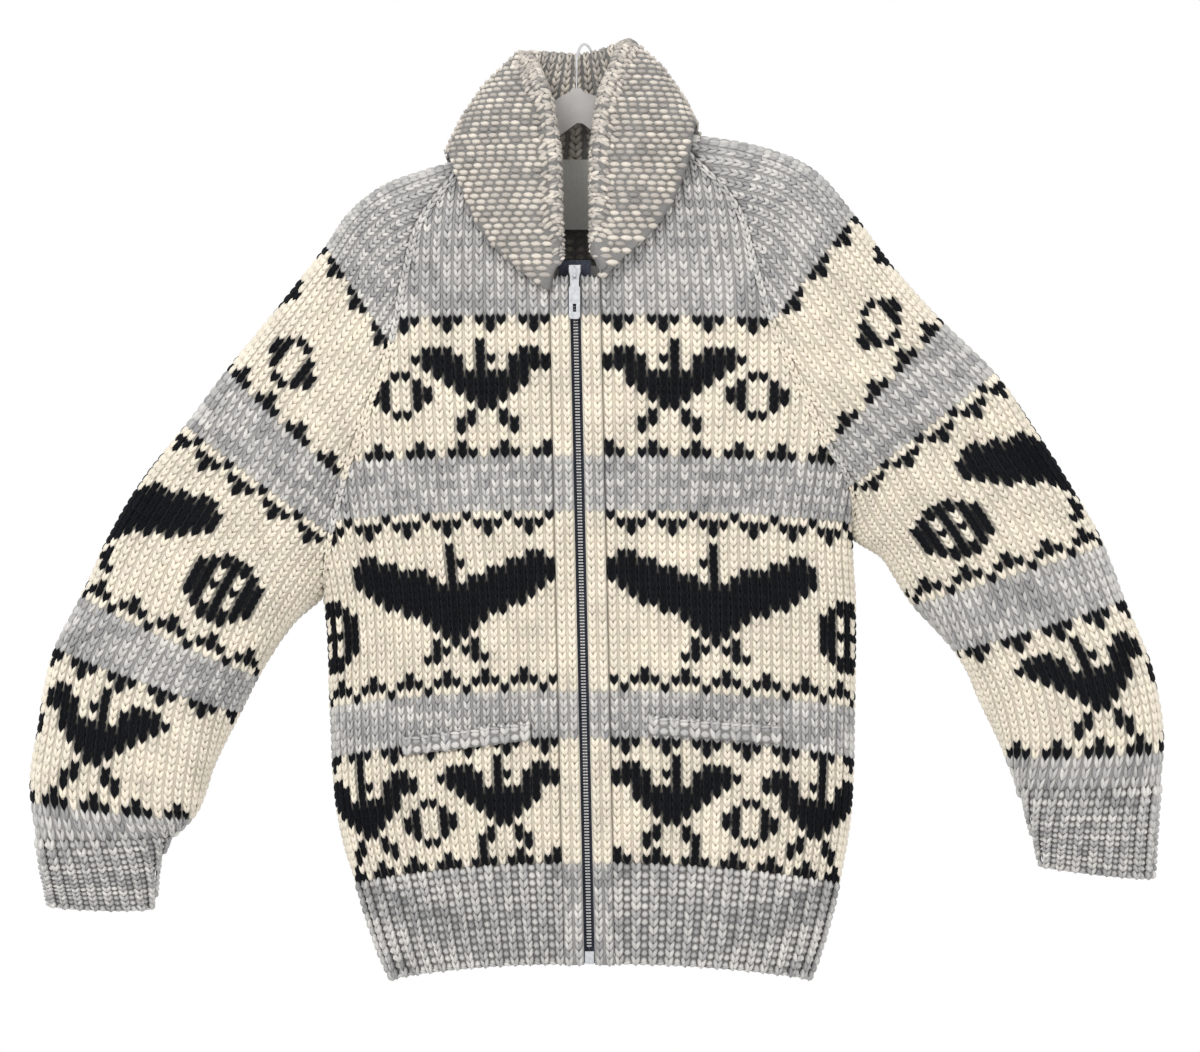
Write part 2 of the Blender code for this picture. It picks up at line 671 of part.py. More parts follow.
def slider(made):
    """Slider body with a wire loop on its face, cut as one outline across the zip."""
    x, face, back, top, bottom = slider_frame()
    half = SLIDER_SIZE[0] / 2
    outline = [(-half, top), (half, top), (half, top - 5), (half - 2.4, bottom), (2.4 - half, bottom),
               (-half, top - 5)]
    rings = [[(x + px * 0.72, back, pz) for px, pz in outline],
             [(x + px * 0.72, face + 2.0, pz) for px, pz in outline],
             [(x + px, face + 1.4, pz) for px, pz in outline],
             [(x + px, face + 0.6, pz) for px, pz in outline],
             [(x + px * 0.86, face, pz * 0.96 + (top + bottom) * 0.02) for px, pz in outline]]
    body = swept_solid("slider", rings, made, smooth_shaded=False)
    front = face - BAIL_OPENING
    loop_top, loop_bottom = top - 1.0, top - 12.0
    inner = [(face + 0.4, loop_top - BAIL_BAR), (front, loop_top - BAIL_BAR - 1.0),
             (front, loop_bottom + BAIL_BAR + 0.6), (face + 0.4, loop_bottom + BAIL_BAR)]
    outer = [(face + 0.4, loop_top), (front - BAIL_BAR, loop_top - 1.6),
             (front - BAIL_BAR, loop_bottom + 1.2), (face + 0.4, loop_bottom)]
    rings = []
    for (iy, iz), (oy, oz) in zip(inner, outer):
        rings.append([(x - BAIL_BAR / 2, iy, iz), (x + BAIL_BAR / 2, iy, iz),
                      (x + BAIL_BAR / 2, oy, oz), (x - BAIL_BAR / 2, oy, oz)])
    loop = swept_solid("slider_loop_shape", rings, made, smooth_shaded=False)
    join = body.modifiers.new("loop", "BOOLEAN")
    join.operation = "UNION"
    join.object = loop
    loop.hide_render = True
    loop.display_type = "WIRE"
    return body


def pull_tab(made):
    """Flat tab with an eye; its cross-bar passes through the slider's loop and is the hinge."""
    centre = hinge_centre()
    x, y, z = centre
    half = PULL_WIDTH / 2
    eye = 1.9
    bar = 0.8
    outer = [(-3.4, bar), (3.4, bar), (3.9, -PULL_EYE), (half - 1.1, -PULL_EYE - 4.5), (half, -PULL_EYE - 6.5),
             (half, -PULL_LENGTH + 1.5), (half - 1.5, -PULL_LENGTH), (1.5 - half, -PULL_LENGTH),
             (-half, -PULL_LENGTH + 1.5), (-half, -PULL_EYE - 6.5), (1.1 - half, -PULL_EYE - 4.5),
             (-3.9, -PULL_EYE)]
    body = tab_plate("pull_tab", outer, PULL_WALL, centre, made)
    for index, (low, high, wide) in enumerate(((-PULL_EYE, -bar, eye), (-32.0, -25.0, 1.5))):
        hole = [(-wide, low), (wide, low), (wide, high), (-wide, high)]
        cutter = tab_plate(f"pull_tab_hole_{index}", hole, PULL_WALL * 3, centre, made)
        cutter.hide_render = True
        cutter.display_type = "WIRE"
        cut = body.modifiers.new(f"hole_{index}", "BOOLEAN")
        cut.operation = "DIFFERENCE"
        cut.object = cutter
    return body


def tab_plate(name, outline, wall, centre, made):
    x, y, z = centre
    rings = [[(x + px, y + depth, z + pz) for px, pz in outline] for depth in (-wall / 2, wall / 2)]
    return swept_solid(name, rings, made, smooth_shaded=False, origin=centre)


# ---------------------------------------------------------------- label
def label(made):
    """Woven label that hangs inside the back neck."""
    return box_solid("neck_label", (-17, 15.9, -166), (26, 17.1, -104), made)


# ---------------------------------------------------------------- hanger
HANGER_REACH = (-196.0, 196.0)
# Upper line of each arm; the hanger hangs a little crooked under the sweater.
HANGER_ARM = {  # (reach from the shank, below)
    -1: [(0, 46), (14, 51), (24, 58), (60, 88), (100, 118), (150, 142), (193, 160.2)],
    1: [(0, 46), (14, 48), (24, 54), (55, 80), (91, 97), (150, 110.5), (199, 120.8)],
}
HANGER_WALL = 9.0
HANGER_BAR_BELOW = 200.0
HANGER_BAR_HEIGHT = 9.0
HANGER_NUB_BELOW = 44.0
SHANK_X = -3.0
SHANK_Y = 16.0
HOOK_RADIUS = 20.0
WIRE = 2.6
HOOK_TURN = math.radians(22)


def hanger(made):
    """Triangular plastic frame: two arms that carry the shoulders and a bar across."""
    reaches = np.linspace(HANGER_REACH[0], HANGER_REACH[1], 25)
    top = []
    for x in reaches:
        rows = HANGER_ARM[-1 if x < SHANK_X else 1]
        top.append((x, -np.interp(abs(x - SHANK_X), [row[0] for row in rows], [row[1] for row in rows])))
    nub = [(SHANK_X - 7, -HANGER_NUB_BELOW - 4), (SHANK_X - 4, -HANGER_NUB_BELOW),
           (SHANK_X + 4, -HANGER_NUB_BELOW), (SHANK_X + 7, -HANGER_NUB_BELOW - 4)]
    left = [point for point in top if point[0] < SHANK_X - 12]
    right = [point for point in top if point[0] > SHANK_X + 12]
    end_low = -HANGER_BAR_BELOW - HANGER_BAR_HEIGHT
    outer = [(HANGER_REACH[0] + 6, end_low)] + left + nub + right + [(HANGER_REACH[1] - 6, end_low)]
    arm = 24.0
    lift = -HANGER_BAR_BELOW
    inner_left = [(x + 14, z - arm + 4 * abs(x) / 200) for x, z in left[1:]]
    inner_right = [(x - 14, z - arm + 4 * abs(x) / 200) for x, z in right[:-1]]
    inner_left = [(x, z) for x, z in inner_left if z > lift + 3]
    inner_right = [(x, z) for x, z in inner_right if z > lift + 3]
    hole = [(inner_left[0][0] - 12, lift)] + inner_left + inner_right + [(inner_right[-1][0] + 12, lift)]
    body = plate_y("hanger_frame", outer, HANGER_WALL, made)
    cutter = plate_y("hanger_hole_shape", hole, HANGER_WALL * 3, made)
    cutter.hide_render = True
    cutter.display_type = "WIRE"
    cut = body.modifiers.new("hole", "BOOLEAN")
    cut.operation = "DIFFERENCE"
    cut.object = cutter
    return body


def plate_y(name, outline, wall, made):
    rings = [[(x, y, z) for x, z in outline] for y in (-wall / 2 + HANGER_Y, wall / 2 + HANGER_Y)]
    return swept_solid(name, rings, made, smooth_shaded=False)


HANGER_Y = 0.0


def hook_seat():
    """Inside top of the hook, measured from the garment's own middle: this is the origin."""
    radius = HOOK_RADIUS + WIRE / 2
    return (SHANK_X + math.sin(HOOK_TURN) * radius, SHANK_Y + math.cos(HOOK_TURN) * radius, 0.0)


def hook(made):
    """Wire hook: straight shank, then an arch that leans back over the collar."""
    radius = HOOK_RADIUS + WIRE / 2
    centre = np.array(hook_seat()) - np.array([0, 0, HOOK_RADIUS])
    lean = np.array([math.sin(HOOK_TURN), math.cos(HOOK_TURN), 0])
    foot = np.array([SHANK_X, HANGER_Y, -HANGER_NUB_BELOW + SEAM_GAP])
    path = [foot, foot + np.array([0, 0, 5.0])]
    for share in np.linspace(0.25, 0.85, 4):
        path.append(foot + np.array([0, 0, 5]) + (np.array([SHANK_X, SHANK_Y, -HOOK_RADIUS - 3])
                                                   - foot - np.array([0, 0, 5])) * share)
    for angle in np.radians(np.linspace(180, -30, 15)):
        path.append(centre + lean * math.cos(angle) * radius + np.array([0, 0, math.sin(angle) * radius]))
    path = np.array(path)
    tangents = np.gradient(path, axis=0)
    tangents /= np.linalg.norm(tangents, axis=1, keepdims=True)
    aside = np.cross(lean, [0, 0, 1.0])
    rings = []
    for point, tangent in zip(path, tangents):
        other = np.cross(tangent, aside)
        other /= np.linalg.norm(other)
        rings.append([point + (aside * math.cos(a) + other * math.sin(a)) * WIRE / 2
                      for a in np.linspace(0, 2 * math.pi, 9)[:-1]])
    return swept_solid("hanger_hook", rings, made)


# ---------------------------------------------------------------- the whole cardigan
def main():
    for existing in list(bpy.data.objects):
        bpy.data.objects.remove(existing)
    cream = material("wool_cream", (0.80, 0.75, 0.65), 0.95)
    cream_right = material("wool_cream_right", (0.79, 0.74, 0.64), 0.95)
    back_wool = material("wool_back", (0.76, 0.71, 0.62), 0.95)
    grey = material("wool_grey", (0.50, 0.49, 0.48), 0.95)
    collar_wool = material("wool_collar", (0.58, 0.56, 0.53), 0.95)
    front_panel(-1, cream)
    front_panel(1, cream_right)
    back_panel(back_wool)
    for side in (-1, 1):
        sleeve(side, material(f"wool_sleeve_{side + 1}", (0.72, 0.69, 0.62), 0.95))
        cuff(side, grey)
        front_band(side, material(f"wool_band_{side + 1}", (0.74, 0.70, 0.62), 0.95))
        pocket_welt(side, grey)
    hem_solids(grey)
    collar(collar_wool)
    silver = material("zip_silver", (0.72, 0.73, 0.75), 0.3, 1.0)
    zip_parts(material("zip_tape", (0.24, 0.27, 0.33), 0.9), material("zip_teeth", (0.12, 0.12, 0.13), 0.4, 1.0),
              silver)
    slider(silver)
    pull_tab(material("pull_silver", (0.70, 0.71, 0.73), 0.3, 1.0))
    label(material("label_cotton", (0.78, 0.77, 0.72), 0.8))
    hanger(material("hanger_plastic", (0.55, 0.53, 0.51), 0.45))
    hook(material("hook_steel", (0.75, 0.75, 0.76), 0.25, 1.0))


main()
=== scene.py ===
"""Visual model of a hand-knit Cowichan zip cardigan on its hanger.

Every knitted piece is a thin shell on the form of its solid, with one raised leg of yarn for each
half stitch. Sizes in the tables are millimetres, measured as in the part: down from the hook.
"""
import math

import bmesh
import bpy
import numpy as np
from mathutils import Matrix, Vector


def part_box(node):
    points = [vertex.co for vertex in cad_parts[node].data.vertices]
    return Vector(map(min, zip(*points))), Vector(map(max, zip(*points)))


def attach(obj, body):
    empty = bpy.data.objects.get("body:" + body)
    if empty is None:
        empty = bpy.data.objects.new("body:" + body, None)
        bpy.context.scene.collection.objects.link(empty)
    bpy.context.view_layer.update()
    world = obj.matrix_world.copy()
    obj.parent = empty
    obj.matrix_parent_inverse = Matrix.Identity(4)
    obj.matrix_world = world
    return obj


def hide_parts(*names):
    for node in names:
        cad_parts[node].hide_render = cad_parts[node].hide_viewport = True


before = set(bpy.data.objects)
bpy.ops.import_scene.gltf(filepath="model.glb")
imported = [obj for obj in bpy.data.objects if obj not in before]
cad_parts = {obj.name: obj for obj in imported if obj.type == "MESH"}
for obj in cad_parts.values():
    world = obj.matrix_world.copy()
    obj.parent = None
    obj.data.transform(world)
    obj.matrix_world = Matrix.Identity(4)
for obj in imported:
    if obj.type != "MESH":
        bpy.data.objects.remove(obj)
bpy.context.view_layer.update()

MM = 0.001

# ---------------------------------------------------------------- driving sizes
SEAM_GAP = 0.30            # space between two pieces that are sewn together
KNIT_WALL = 6.0            # thickness of the bulky knitted cloth
RIB_WALL = 7.0             # thickness of the ribbed hem and cuffs
COLLAR_WALL = 7.0          # thickness of one layer of the collar
ROW_PITCH = 6.73           # height of one knitted row
RIB_ROWS = 13              # rows of rib at the hem and at each cuff
BACK_SAG = 4.0             # how much lower the back hangs at its middle than at the side seams
HEM_BELOW = 806.0          # hem's lower edge at the zip, below the origin
SQUARENESS = 2.4           # exponent of the body's rounded section, 2 is an ellipse
SLEEVE_SQUARENESS = 2.3    # the same for the sleeves
ZIP_TOP = 207.0            # top of the zip
FRONT_TOP = 210.0          # top of the front edges, where the collar's ends begin
ZIP_TOP_X = -4.4           # the zip leans: its top is left of the origin
ZIP_LEAN = 0.0218          # and runs this far to the right for each millimetre down
FRONT_EDGE = 4.6           # from the zip's middle to the edge of each front
BAND_WIDTH = 17.0          # knitted edge band beside the zip
BAND_PROUD = 2.0           # and how far it stands out from the front
ARMPIT_ROW = 53            # sleeve row at which the underarm seam meets the raglan seam
NECK_ROW = 110             # sleeve row at the neck

# Width of each half of the body from the zip line to the side, at each distance below the origin.
# Above the armpit the section runs on inside the sleeve.
BODY_WIDTH = {
    -1: [  # (below, width)
        (84, 232), (117, 240), (160, 250), (230, 255), (318, 252), (380, 246), (440, 236), (485, 226.3),
        (520, 223), (582, 222), (705, 213), (749, 200), (811, 180), (842, 165)],
    1: [
        (84, 240), (117, 248), (160, 258), (230, 265), (280, 263), (340, 257), (390, 248), (435, 238.0),
        (494, 238.5), (582, 236), (705, 227), (749, 217), (811, 198), (842, 184)],
}
# Depth of the body's front and back surfaces from the middle plane.
BODY_DEPTH = [  # (below, front, back)
    (84, 30, 30), (117, 38, 36), (160, 48, 42), (230, 56, 48), (318, 59, 51), (400, 60, 53),
    (485, 61, 55), (582, 62, 56), (705, 60, 55), (749, 58, 54), (811, 54, 50), (842, 51, 47)]
# The knitted rows arch: how much lower each row lies at the side than at the zip.
ROW_DROP = [  # (row, drop)
    (0, 22), (13, 26), (29, 24), (35, 20), (58, 13), (65, 10), (83, 8), (110, 6)]
# Each sleeve row runs from the outer edge to the inner edge, which is the underarm up to
# ARMPIT_ROW and the raglan seam above it.
SLEEVE_ROWS = {
    -1: [  # (row, outer x, outer below, inner x, inner below, half depth)
        (0, -465, 762, -378, 765, 27),
        (13, -476, 703, -359, 701, 33),
        (16, -481, 671, -343, 685, 37),
        (24, -474, 601, -323, 636, 40),
        (32, -460, 536, -301, 592, 42),
        (38, -437, 491, -285, 560, 43),
        (46, -412, 437, -254, 513, 45),
        (53, -384, 390, -225, 485, 46),
        (61, -345, 341, -217, 436, 50),
        (68, -309, 293, -206, 390, 54),
        (77, -264, 238, -184, 330, 56),
        (86, -222, 184, -164, 272, 55),
        (94, -200, 153, -153, 218, 52),
        (102, -165, 128, -140, 168, 46),
        (110, -103, 109, -106, 121, 38)],
    1: [
        (0, 502, 738, 408, 728, 27),
        (13, 508, 656, 387, 659, 33),
        (16, 511, 627, 377, 632, 37),
        (24, 502, 557, 355, 584, 40),
        (32, 477, 494, 332, 538, 42),
        (38, 459, 446, 295, 497, 43),
        (46, 431, 396, 267, 455, 45),
        (53, 400, 347, 239, 435, 46),
        (61, 363, 295, 237, 394, 50),
        (68, 319, 252, 217, 359, 54),
        (77, 275, 204, 191, 307, 56),
        (86, 240, 157, 167, 253, 55),
        (94, 204, 117, 151, 199, 52),
        (102, 156, 97, 135, 149, 46),
        (110, 88, 86, 90, 100, 36)],
}
# Largest soft folds: a trough or a ridge pressed into the front (-1) or back (1) surface.
FOLDS = [  # (face, x, below, heading in degrees, half length, half width, depth; a ridge is negative)
    (-1, -190, 420, 62, 60, 13, 5.0),
    (-1, -168, 400, 70, 55, 12, -3.0),
    (-1, 205, 392, -60, 55, 13, 5.0),
    (-1, 184, 380, -68, 55, 12, -3.0),
    (-1, -128, 205, 72, 55, 11, 4.0),
    (-1, 122, 180, -68, 55, 11, 4.0),
    (-1, -300, 500, 58, 50, 16, 4.0),
    (-1, 330, 470, -52, 55, 16, 4.0),
    (-1, -120, 620, 84, 110, 30, -3.0),
    (-1, 130, 640, -86, 120, 32, -3.0),
    (-1, -380, 620, 70, 60, 20, -3.0),
    (-1, 430, 590, -66, 60, 20, -3.0),
    (1, -190, 410, 60, 60, 16, 5.0),
    (1, 200, 385, -60, 60, 16, 5.0),
    (1, -60, 560, 82, 120, 34, 4.0),
    (1, 80, 600, -84, 120, 36, 4.0),
    (1, -360, 560, 62, 60, 18, 4.0),
    (1, 380, 520, -58, 60, 18, 4.0),
]
# Shawl collar: for each station round the neck, the fold at its top, the free edge of the fall
# that lies over the yoke, and the seam of the stand inside the neckline.
COLLAR_STATIONS = [  # (fold x, y, below; fall x, y, below; stand x, y, below)
    (-20, -60, 204, -26, -63, 226, -40, -41, 198),
    (-21, -58, 184, -50, -62, 210, -50, -41, 184),
    (-22, -54, 152, -72, -57, 190, -61, -38, 168),
    (-23, -50, 108, -90, -51, 165, -76, -34, 150),
    (-30, -38, 62, -100, -47, 141, -87, -28, 134),
    (-38, -20, 37, -108, -45, 120, -93, -18, 119),
    (-46, -4, 22, -113, -30, 105, -95, -8, 108),
    (-50, 10, 16, -115, 8, 102, -94, 4, 104),
    (-40, 25, 13, -110, 46, 117, -86, 14, 108),
    (-20, 31, 14.5, -58, 47, 132, -46, 20, 110),
    (0, 32, 15, 0, 48, 136, 0, 22, 108),
    (20, 31, 11.5, 56, 48, 128, 46, 20, 104),
    (37, 25, 6, 105, 48, 99, 74, 14, 95),
    (42, 12, 5, 101, 8, 80, 79, 4, 84),
    (38, -4, 13, 99, -32, 82, 80, -8, 90),
    (30, -20, 34, 95, -48, 103, 79, -18, 104),
    (21, -38, 60, 89, -49, 126, 75, -28, 124),
    (16, -50, 108, 80, -52, 149, 65, -34, 142),
    (16, -54, 152, 63, -57, 174, 51, -38, 162),
    (16, -58, 184, 40, -62, 196, 43, -41, 182),
    (17, -60, 203, 18, -63, 216, 35, -40, 197),
]
# Pocket welts: from and to, measured round the front from the zip, and the welt's top edge.
POCKETS = {-1: (47, 158, 597, 611), 1: (55, 170, 592, 601)}  # (from, to, below at from, below at to)
WELT_HEIGHT = 15.0
WELT_WALL = 4.0

# ---------------------------------------------------------------- curves through the tables
def smooth(rows, column, at):
    """Smooth curve through one column of a table whose first column is the key."""
    keys = np.array([row[0] for row in rows], float)
    values = np.array([row[column] for row in rows], float)
    slopes = np.gradient(values, keys)
    at = np.clip(np.asarray(at, float), keys[0], keys[-1])
    i = np.clip(np.searchsorted(keys, at) - 1, 0, len(keys) - 2)
    step = keys[i + 1] - keys[i]
    t = (at - keys[i]) / step
    start = values[i] * (1 + 2 * t) * (1 - t) ** 2 + slopes[i] * step * t * (1 - t) ** 2
    end = values[i + 1] * t * t * (3 - 2 * t) + slopes[i + 1] * step * t * t * (t - 1)
    return start + end


def zip_x(below):
    return ZIP_TOP_X + ZIP_LEAN * (below - ZIP_TOP)


# ---------------------------------------------------------------- the body's rounded section
def quarter_outline(width, depth):
    """Polyline of the section from the middle of the front to the side, and its length so far."""
    angle = np.linspace(0, math.pi / 2, 65)
    power = 2 / SQUARENESS
    across = width * np.sin(angle) ** power
    out = depth * np.cos(angle) ** power
    arc = np.concatenate(([0], np.cumsum(np.hypot(np.diff(across), np.diff(out)))))
    return across, out, arc


def body_depth(face, below):
    return float(smooth(BODY_DEPTH, 1 if face < 0 else 2, below))


def body_point(side, face, arc, below):
    """Point of the body's surface, arc millimetres round from the zip line."""
    width = float(smooth(BODY_WIDTH[side], 1, below))
    across, out, length = quarter_outline(width, body_depth(face, below))
    x = zip_x(below) + side * np.interp(arc, length, across)
    y = face * np.interp(arc, length, out)
    return press(np.array([x, y, -below]), face)


def side_arc(side, face, below):
    width = float(smooth(BODY_WIDTH[side], 1, below))
    return quarter_outline(width, body_depth(face, below))[2][-1]


def raglan_rows(side):
    """Raglan seam as (below, x) rows, from the neck down to the armpit."""
    seam = [(row[4], row[3]) for row in SLEEVE_ROWS[side] if row[0] >= ARMPIT_ROW]
    return sorted(seam)


def raglan_x(side, below):
    return float(smooth(raglan_rows(side), 1, below))


def raglan_arc(side, face, below):
    """Where the raglan seam lies, measured round from the zip line."""
    width = float(smooth(BODY_WIDTH[side], 1, below))
    across, _, length = quarter_outline(width, body_depth(face, below))
    reach = side * (raglan_x(side, below) - zip_x(below))
    return float(np.interp(reach, across, length))



def press(point, face):
    """Moves a point of the front or back surface by the soft folds."""
    shift = 0.0
    for fold_face, x, below, heading, length, width, depth in FOLDS:
        if fold_face != face:
            continue
        dx = point[0] - x
        dz = -point[2] - below
        angle = math.radians(heading)
        along = dx * math.cos(angle) + dz * math.sin(angle)
        aside = dz * math.cos(angle) - dx * math.sin(angle)
        shift += depth * math.exp(-(along / length) ** 2 - (aside / width) ** 2)
    return point - np.array([0, face * shift * min(1.0, abs(point[1]) / 30.0), 0])


# ---------------------------------------------------------------- the sleeves' rounded section
def sleeve_point(side, face, row, turn):
    """Point of a sleeve row, turn 0 at the outer edge and 1 at the inner edge."""
    rows = SLEEVE_ROWS[side]
    outer_x, outer_below, inner_x, inner_below, depth = (float(smooth(rows, c, row)) for c in range(1, 6))
    seam_depth = 0.0
    if row > ARMPIT_ROW:
        inner_x = raglan_x(side, inner_below)
        width = float(smooth(BODY_WIDTH[side], 1, inner_below))
        across, out, _ = quarter_outline(width, body_depth(face, inner_below))
        reach = side * (inner_x - zip_x(inner_below))
        seam_depth = float(np.interp(reach, across, out))
    power = 2 / SLEEVE_SQUARENESS
    depth = max(depth, seam_depth * 1.01)
    last = math.pi - math.asin((seam_depth / depth) ** (1 / power))
    angle = turn * last
    out = depth * math.sin(angle) ** power if 0 < angle < math.pi else 0.0
    part = round_share(angle, power) / round_share(last, power)
    x = outer_x + (inner_x - outer_x) * part
    below = outer_below + (inner_below - outer_below) * part
    return press(np.array([x, face * out, -below]), face)


def round_share(angle, power):
    cosine = math.cos(angle)
    return (1 - math.copysign(abs(cosine) ** power, cosine)) / 2

# ---------------------------------------------------------------- body panels
def row_below(row):
    """Distance below the origin of a knitted row at the zip."""
    return HEM_BELOW - ROW_PITCH * row


# ---------------------------------------------------------------- collar
FOLD_RADIUS = 6.0


def collar_profile(fold, fall, stand, inward):
    """Middle line of the collar's section: up the stand, round the fold and down the fall."""
    fall_dir = (fall - fold) / np.linalg.norm(fall - fold)
    stand_dir = (stand - fold) / np.linalg.norm(stand - fold)
    away = -inward
    start_in = fold + inward * FOLD_RADIUS
    start_out = fold + away * FOLD_RADIUS
    top = fold - (fall_dir + stand_dir) / np.linalg.norm(fall_dir + stand_dir) * FOLD_RADIUS * 0.8
    swell = np.linalg.norm(fall - fold) * 0.06
    return [
        stand,
        (stand + start_in) / 2 + inward * 1.0,
        start_in + stand_dir * FOLD_RADIUS,
        start_in + (top - fold) * 0.5,
        top,
        start_out + (top - fold) * 0.5,
        start_out + fall_dir * FOLD_RADIUS,
        start_out + (fall - start_out) * 0.35 + away * swell,
        start_out + (fall - start_out) * 0.7 + away * swell * 0.9,
        fall,
    ]


TEETH_WIDTH = 2.7
TEETH_WALL = 2.6


def zip_front(below):
    """Y of the front surface on the zip line."""
    return -body_depth(-1, below)


SHANK_X = -3.0
SHANK_Y = 16.0
HOOK_RADIUS = 20.0
WIRE = 2.6
HOOK_TURN = math.radians(22)


def hook_seat():
    """Inside top of the hook, measured from the garment's own middle: this is the origin."""
    radius = HOOK_RADIUS + WIRE / 2
    return (SHANK_X + math.sin(HOOK_TURN) * radius, SHANK_Y + math.cos(HOOK_TURN) * radius, 0.0)


# ---------------------------------------------------------------- charts, drawn
SMALL_BIRD = (
    "......#......", ".###..#...##.", "#####.##.####", ".####.#..####", "..#########..", "...########..",
    "....######...", ".....####....", "......##.....", ".....#..#....", "....##..##...", "....#....#...")
LARGE_BIRD = (
    "..........#..........", ".##.......#.......##.", "#####.....##....#####", "########..#...#######",
    "#########.#.#########", ".###################.", "..#################..", "...###############...",
    ".....###########.....", ".......#######.......", "........#####........", ".........###.........",
    "........#.#.#........", "........##.##........", ".......##...##.......")
SMALL_DIAMOND = ("..##..", ".#..#.", "##..##", "##..##", ".#..#.", "..##..")
LARGE_DIAMOND = (
    "..###..", ".#####.", "##.#.##", "##.#.##", "#######", "##.#.##", "##.#.##", ".#####.", "..###..")
# Each motif with its first column and lowest row. Columns count from the zip or the outer edge.
BODY_MOTIFS = ((SMALL_BIRD, 0, 68), (SMALL_DIAMOND, 11, 70), (LARGE_BIRD, 0, 39), (LARGE_DIAMOND, 21, 39),
               (SMALL_BIRD, 0, 15), (SMALL_DIAMOND, 11, 16), (SMALL_BIRD, 15, 15))
SLEEVE_MOTIFS = ((SMALL_BIRD, -9, 70), (SMALL_DIAMOND, 5, 71), (LARGE_BIRD, -10, 42), (LARGE_DIAMOND, 11, 42),
                 (SMALL_DIAMOND, -4, 21), (SMALL_BIRD, 2, 18))
CREAM, GREY, BLACK, WARM = 0, 1, 2, 3


def motif_at(motifs, column, row):
    for chart, first, lowest in motifs:
        x = len(chart[0]) - 1 - (column - first)
        y = len(chart) - 1 - (row - lowest)
        if 0 <= x < len(chart[0]) and 0 <= y < len(chart) and chart[y][x] == "#":
            return True
    return False


def yarn_at(column, row, sleeve=False):
    """Yarn of a stitch: grey, or cream with black borders and motifs in three pattern bands."""
    lift = 3 if sleeve else 0
    turn = column % 4
    for low, high in ((13 + lift, 28 + lift), (65 + lift, 82 + lift)):
        if low <= row <= high:
            black = (row == high and turn != 3) or (row == high - 1 and turn == 1)
            black = black or (row == low and turn != 2) or (row == low + 1 and turn == 0)
            black = black or motif_at(SLEEVE_MOTIFS if sleeve else BODY_MOTIFS, column, row)
            return BLACK if black else CREAM
    low, high = 35 + lift, 57 + lift
    if low <= row <= high:
        black = (row == high and turn == 0) or (row == high - 1 and turn != 0)
        black = black or (row == high - 2 and turn == 2)
        black = black or (row == low + 2 and turn == 3) or (row == low + 1 and turn != 1)
        black = black or (row == low and turn == 1)
        black = black or motif_at(SLEEVE_MOTIFS if sleeve else BODY_MOTIFS, column, row)
        return BLACK if black else CREAM
    return GREY


# ---------------------------------------------------------------- yarn colours
random = np.random.default_rng(7)
CREAM_WOOL = np.array((0.80, 0.735, 0.62))
BLACK_WOOL = np.array((0.0045, 0.005, 0.007))
PALE_HAIR = np.array((0.70, 0.68, 0.645))
DARK_HAIR = np.array((0.27, 0.27, 0.275))


def leg_colours(yarns, rows):
    """One colour a leg. Grey wool is a heather of pale and dark fibre that streaks along its row."""
    count = len(yarns)
    streak = np.sin(rows * 12.9898 + np.floor(np.arange(count) / 5) * 4.1) * 0.5 + 0.5
    share = np.clip(0.58 * random.random(count) + 0.42 * streak, 0, 1)[:, None] ** 1.15
    grey = PALE_HAIR + (DARK_HAIR - PALE_HAIR) * share
    warm = grey * np.array((1.06, 1.0, 0.93))
    cream = CREAM_WOOL * (1 + 0.055 * (random.random((count, 1)) - 0.5))
    cream = cream * (1 + 0.03 * (random.random((count, 3)) - 0.5))
    black = BLACK_WOOL * (0.8 + 0.6 * random.random((count, 1)))
    table = np.stack((cream, grey, black, warm))
    return table[yarns, np.arange(count)]


# ---------------------------------------------------------------- legs of yarn
def leg_shape(start, end, widths, heights, aside, base=-0.5):
    """Closed teardrop in a stitch's own square; four points a section, a point at each tip."""
    stations = np.linspace(0, 1, len(widths))
    points = []
    for t, w, h in zip(stations, widths, heights):
        a = start[0] + (end[0] - start[0]) * t
        b = start[1] + (end[1] - start[1]) * t
        if w == 0:
            points.append((a, b, h))
            continue
        for off, high in ((-1.0, base), (-0.0, h), (1.0, base)):
            points.append((a + off * w * aside[0], b + off * w * aside[1], high))
    faces = []
    mids = len(widths) - 2
    last = 1 + 3 * mids
    for k in range(3):
        n = (k + 1) % 3
        faces.append((0, 1 + n, 1 + k))
        for m in range(mids - 1):
            p, q = 1 + 3 * m, 4 + 3 * m
            faces.append((p + k, p + n, q + n))
            faces.append((p + k, q + n, q + k))
        faces.append((last, last - 3 + k, last - 3 + n))
    return np.array(points), np.array(faces)


V_WIDTHS = (0, 0.22, 0.28, 0.25, 0)
V_LEFT = leg_shape((0.19, 1.30), (0.475, -0.16), V_WIDTHS, (0.2, 2.0, 2.7, 2.5, 0.6), (1, 0))
V_RIGHT = leg_shape((0.81, 1.30), (0.525, -0.16), V_WIDTHS, (0.2, 2.0, 2.7, 2.5, 0.6), (1, 0))
BUMP = leg_shape((-0.06, 0.44), (1.06, 0.52), (0, 0.50, 0.60, 0.50, 0), (0.0, 2.3, 3.0, 2.3, 0.0), (0, 1))
CHAIN = leg_shape((-0.12, 0.30), (1.12, 0.62), (0, 0.30, 0.42, 0.32, 0), (0.2, 2.4, 3.4, 2.6, 0.4), (0, 1))


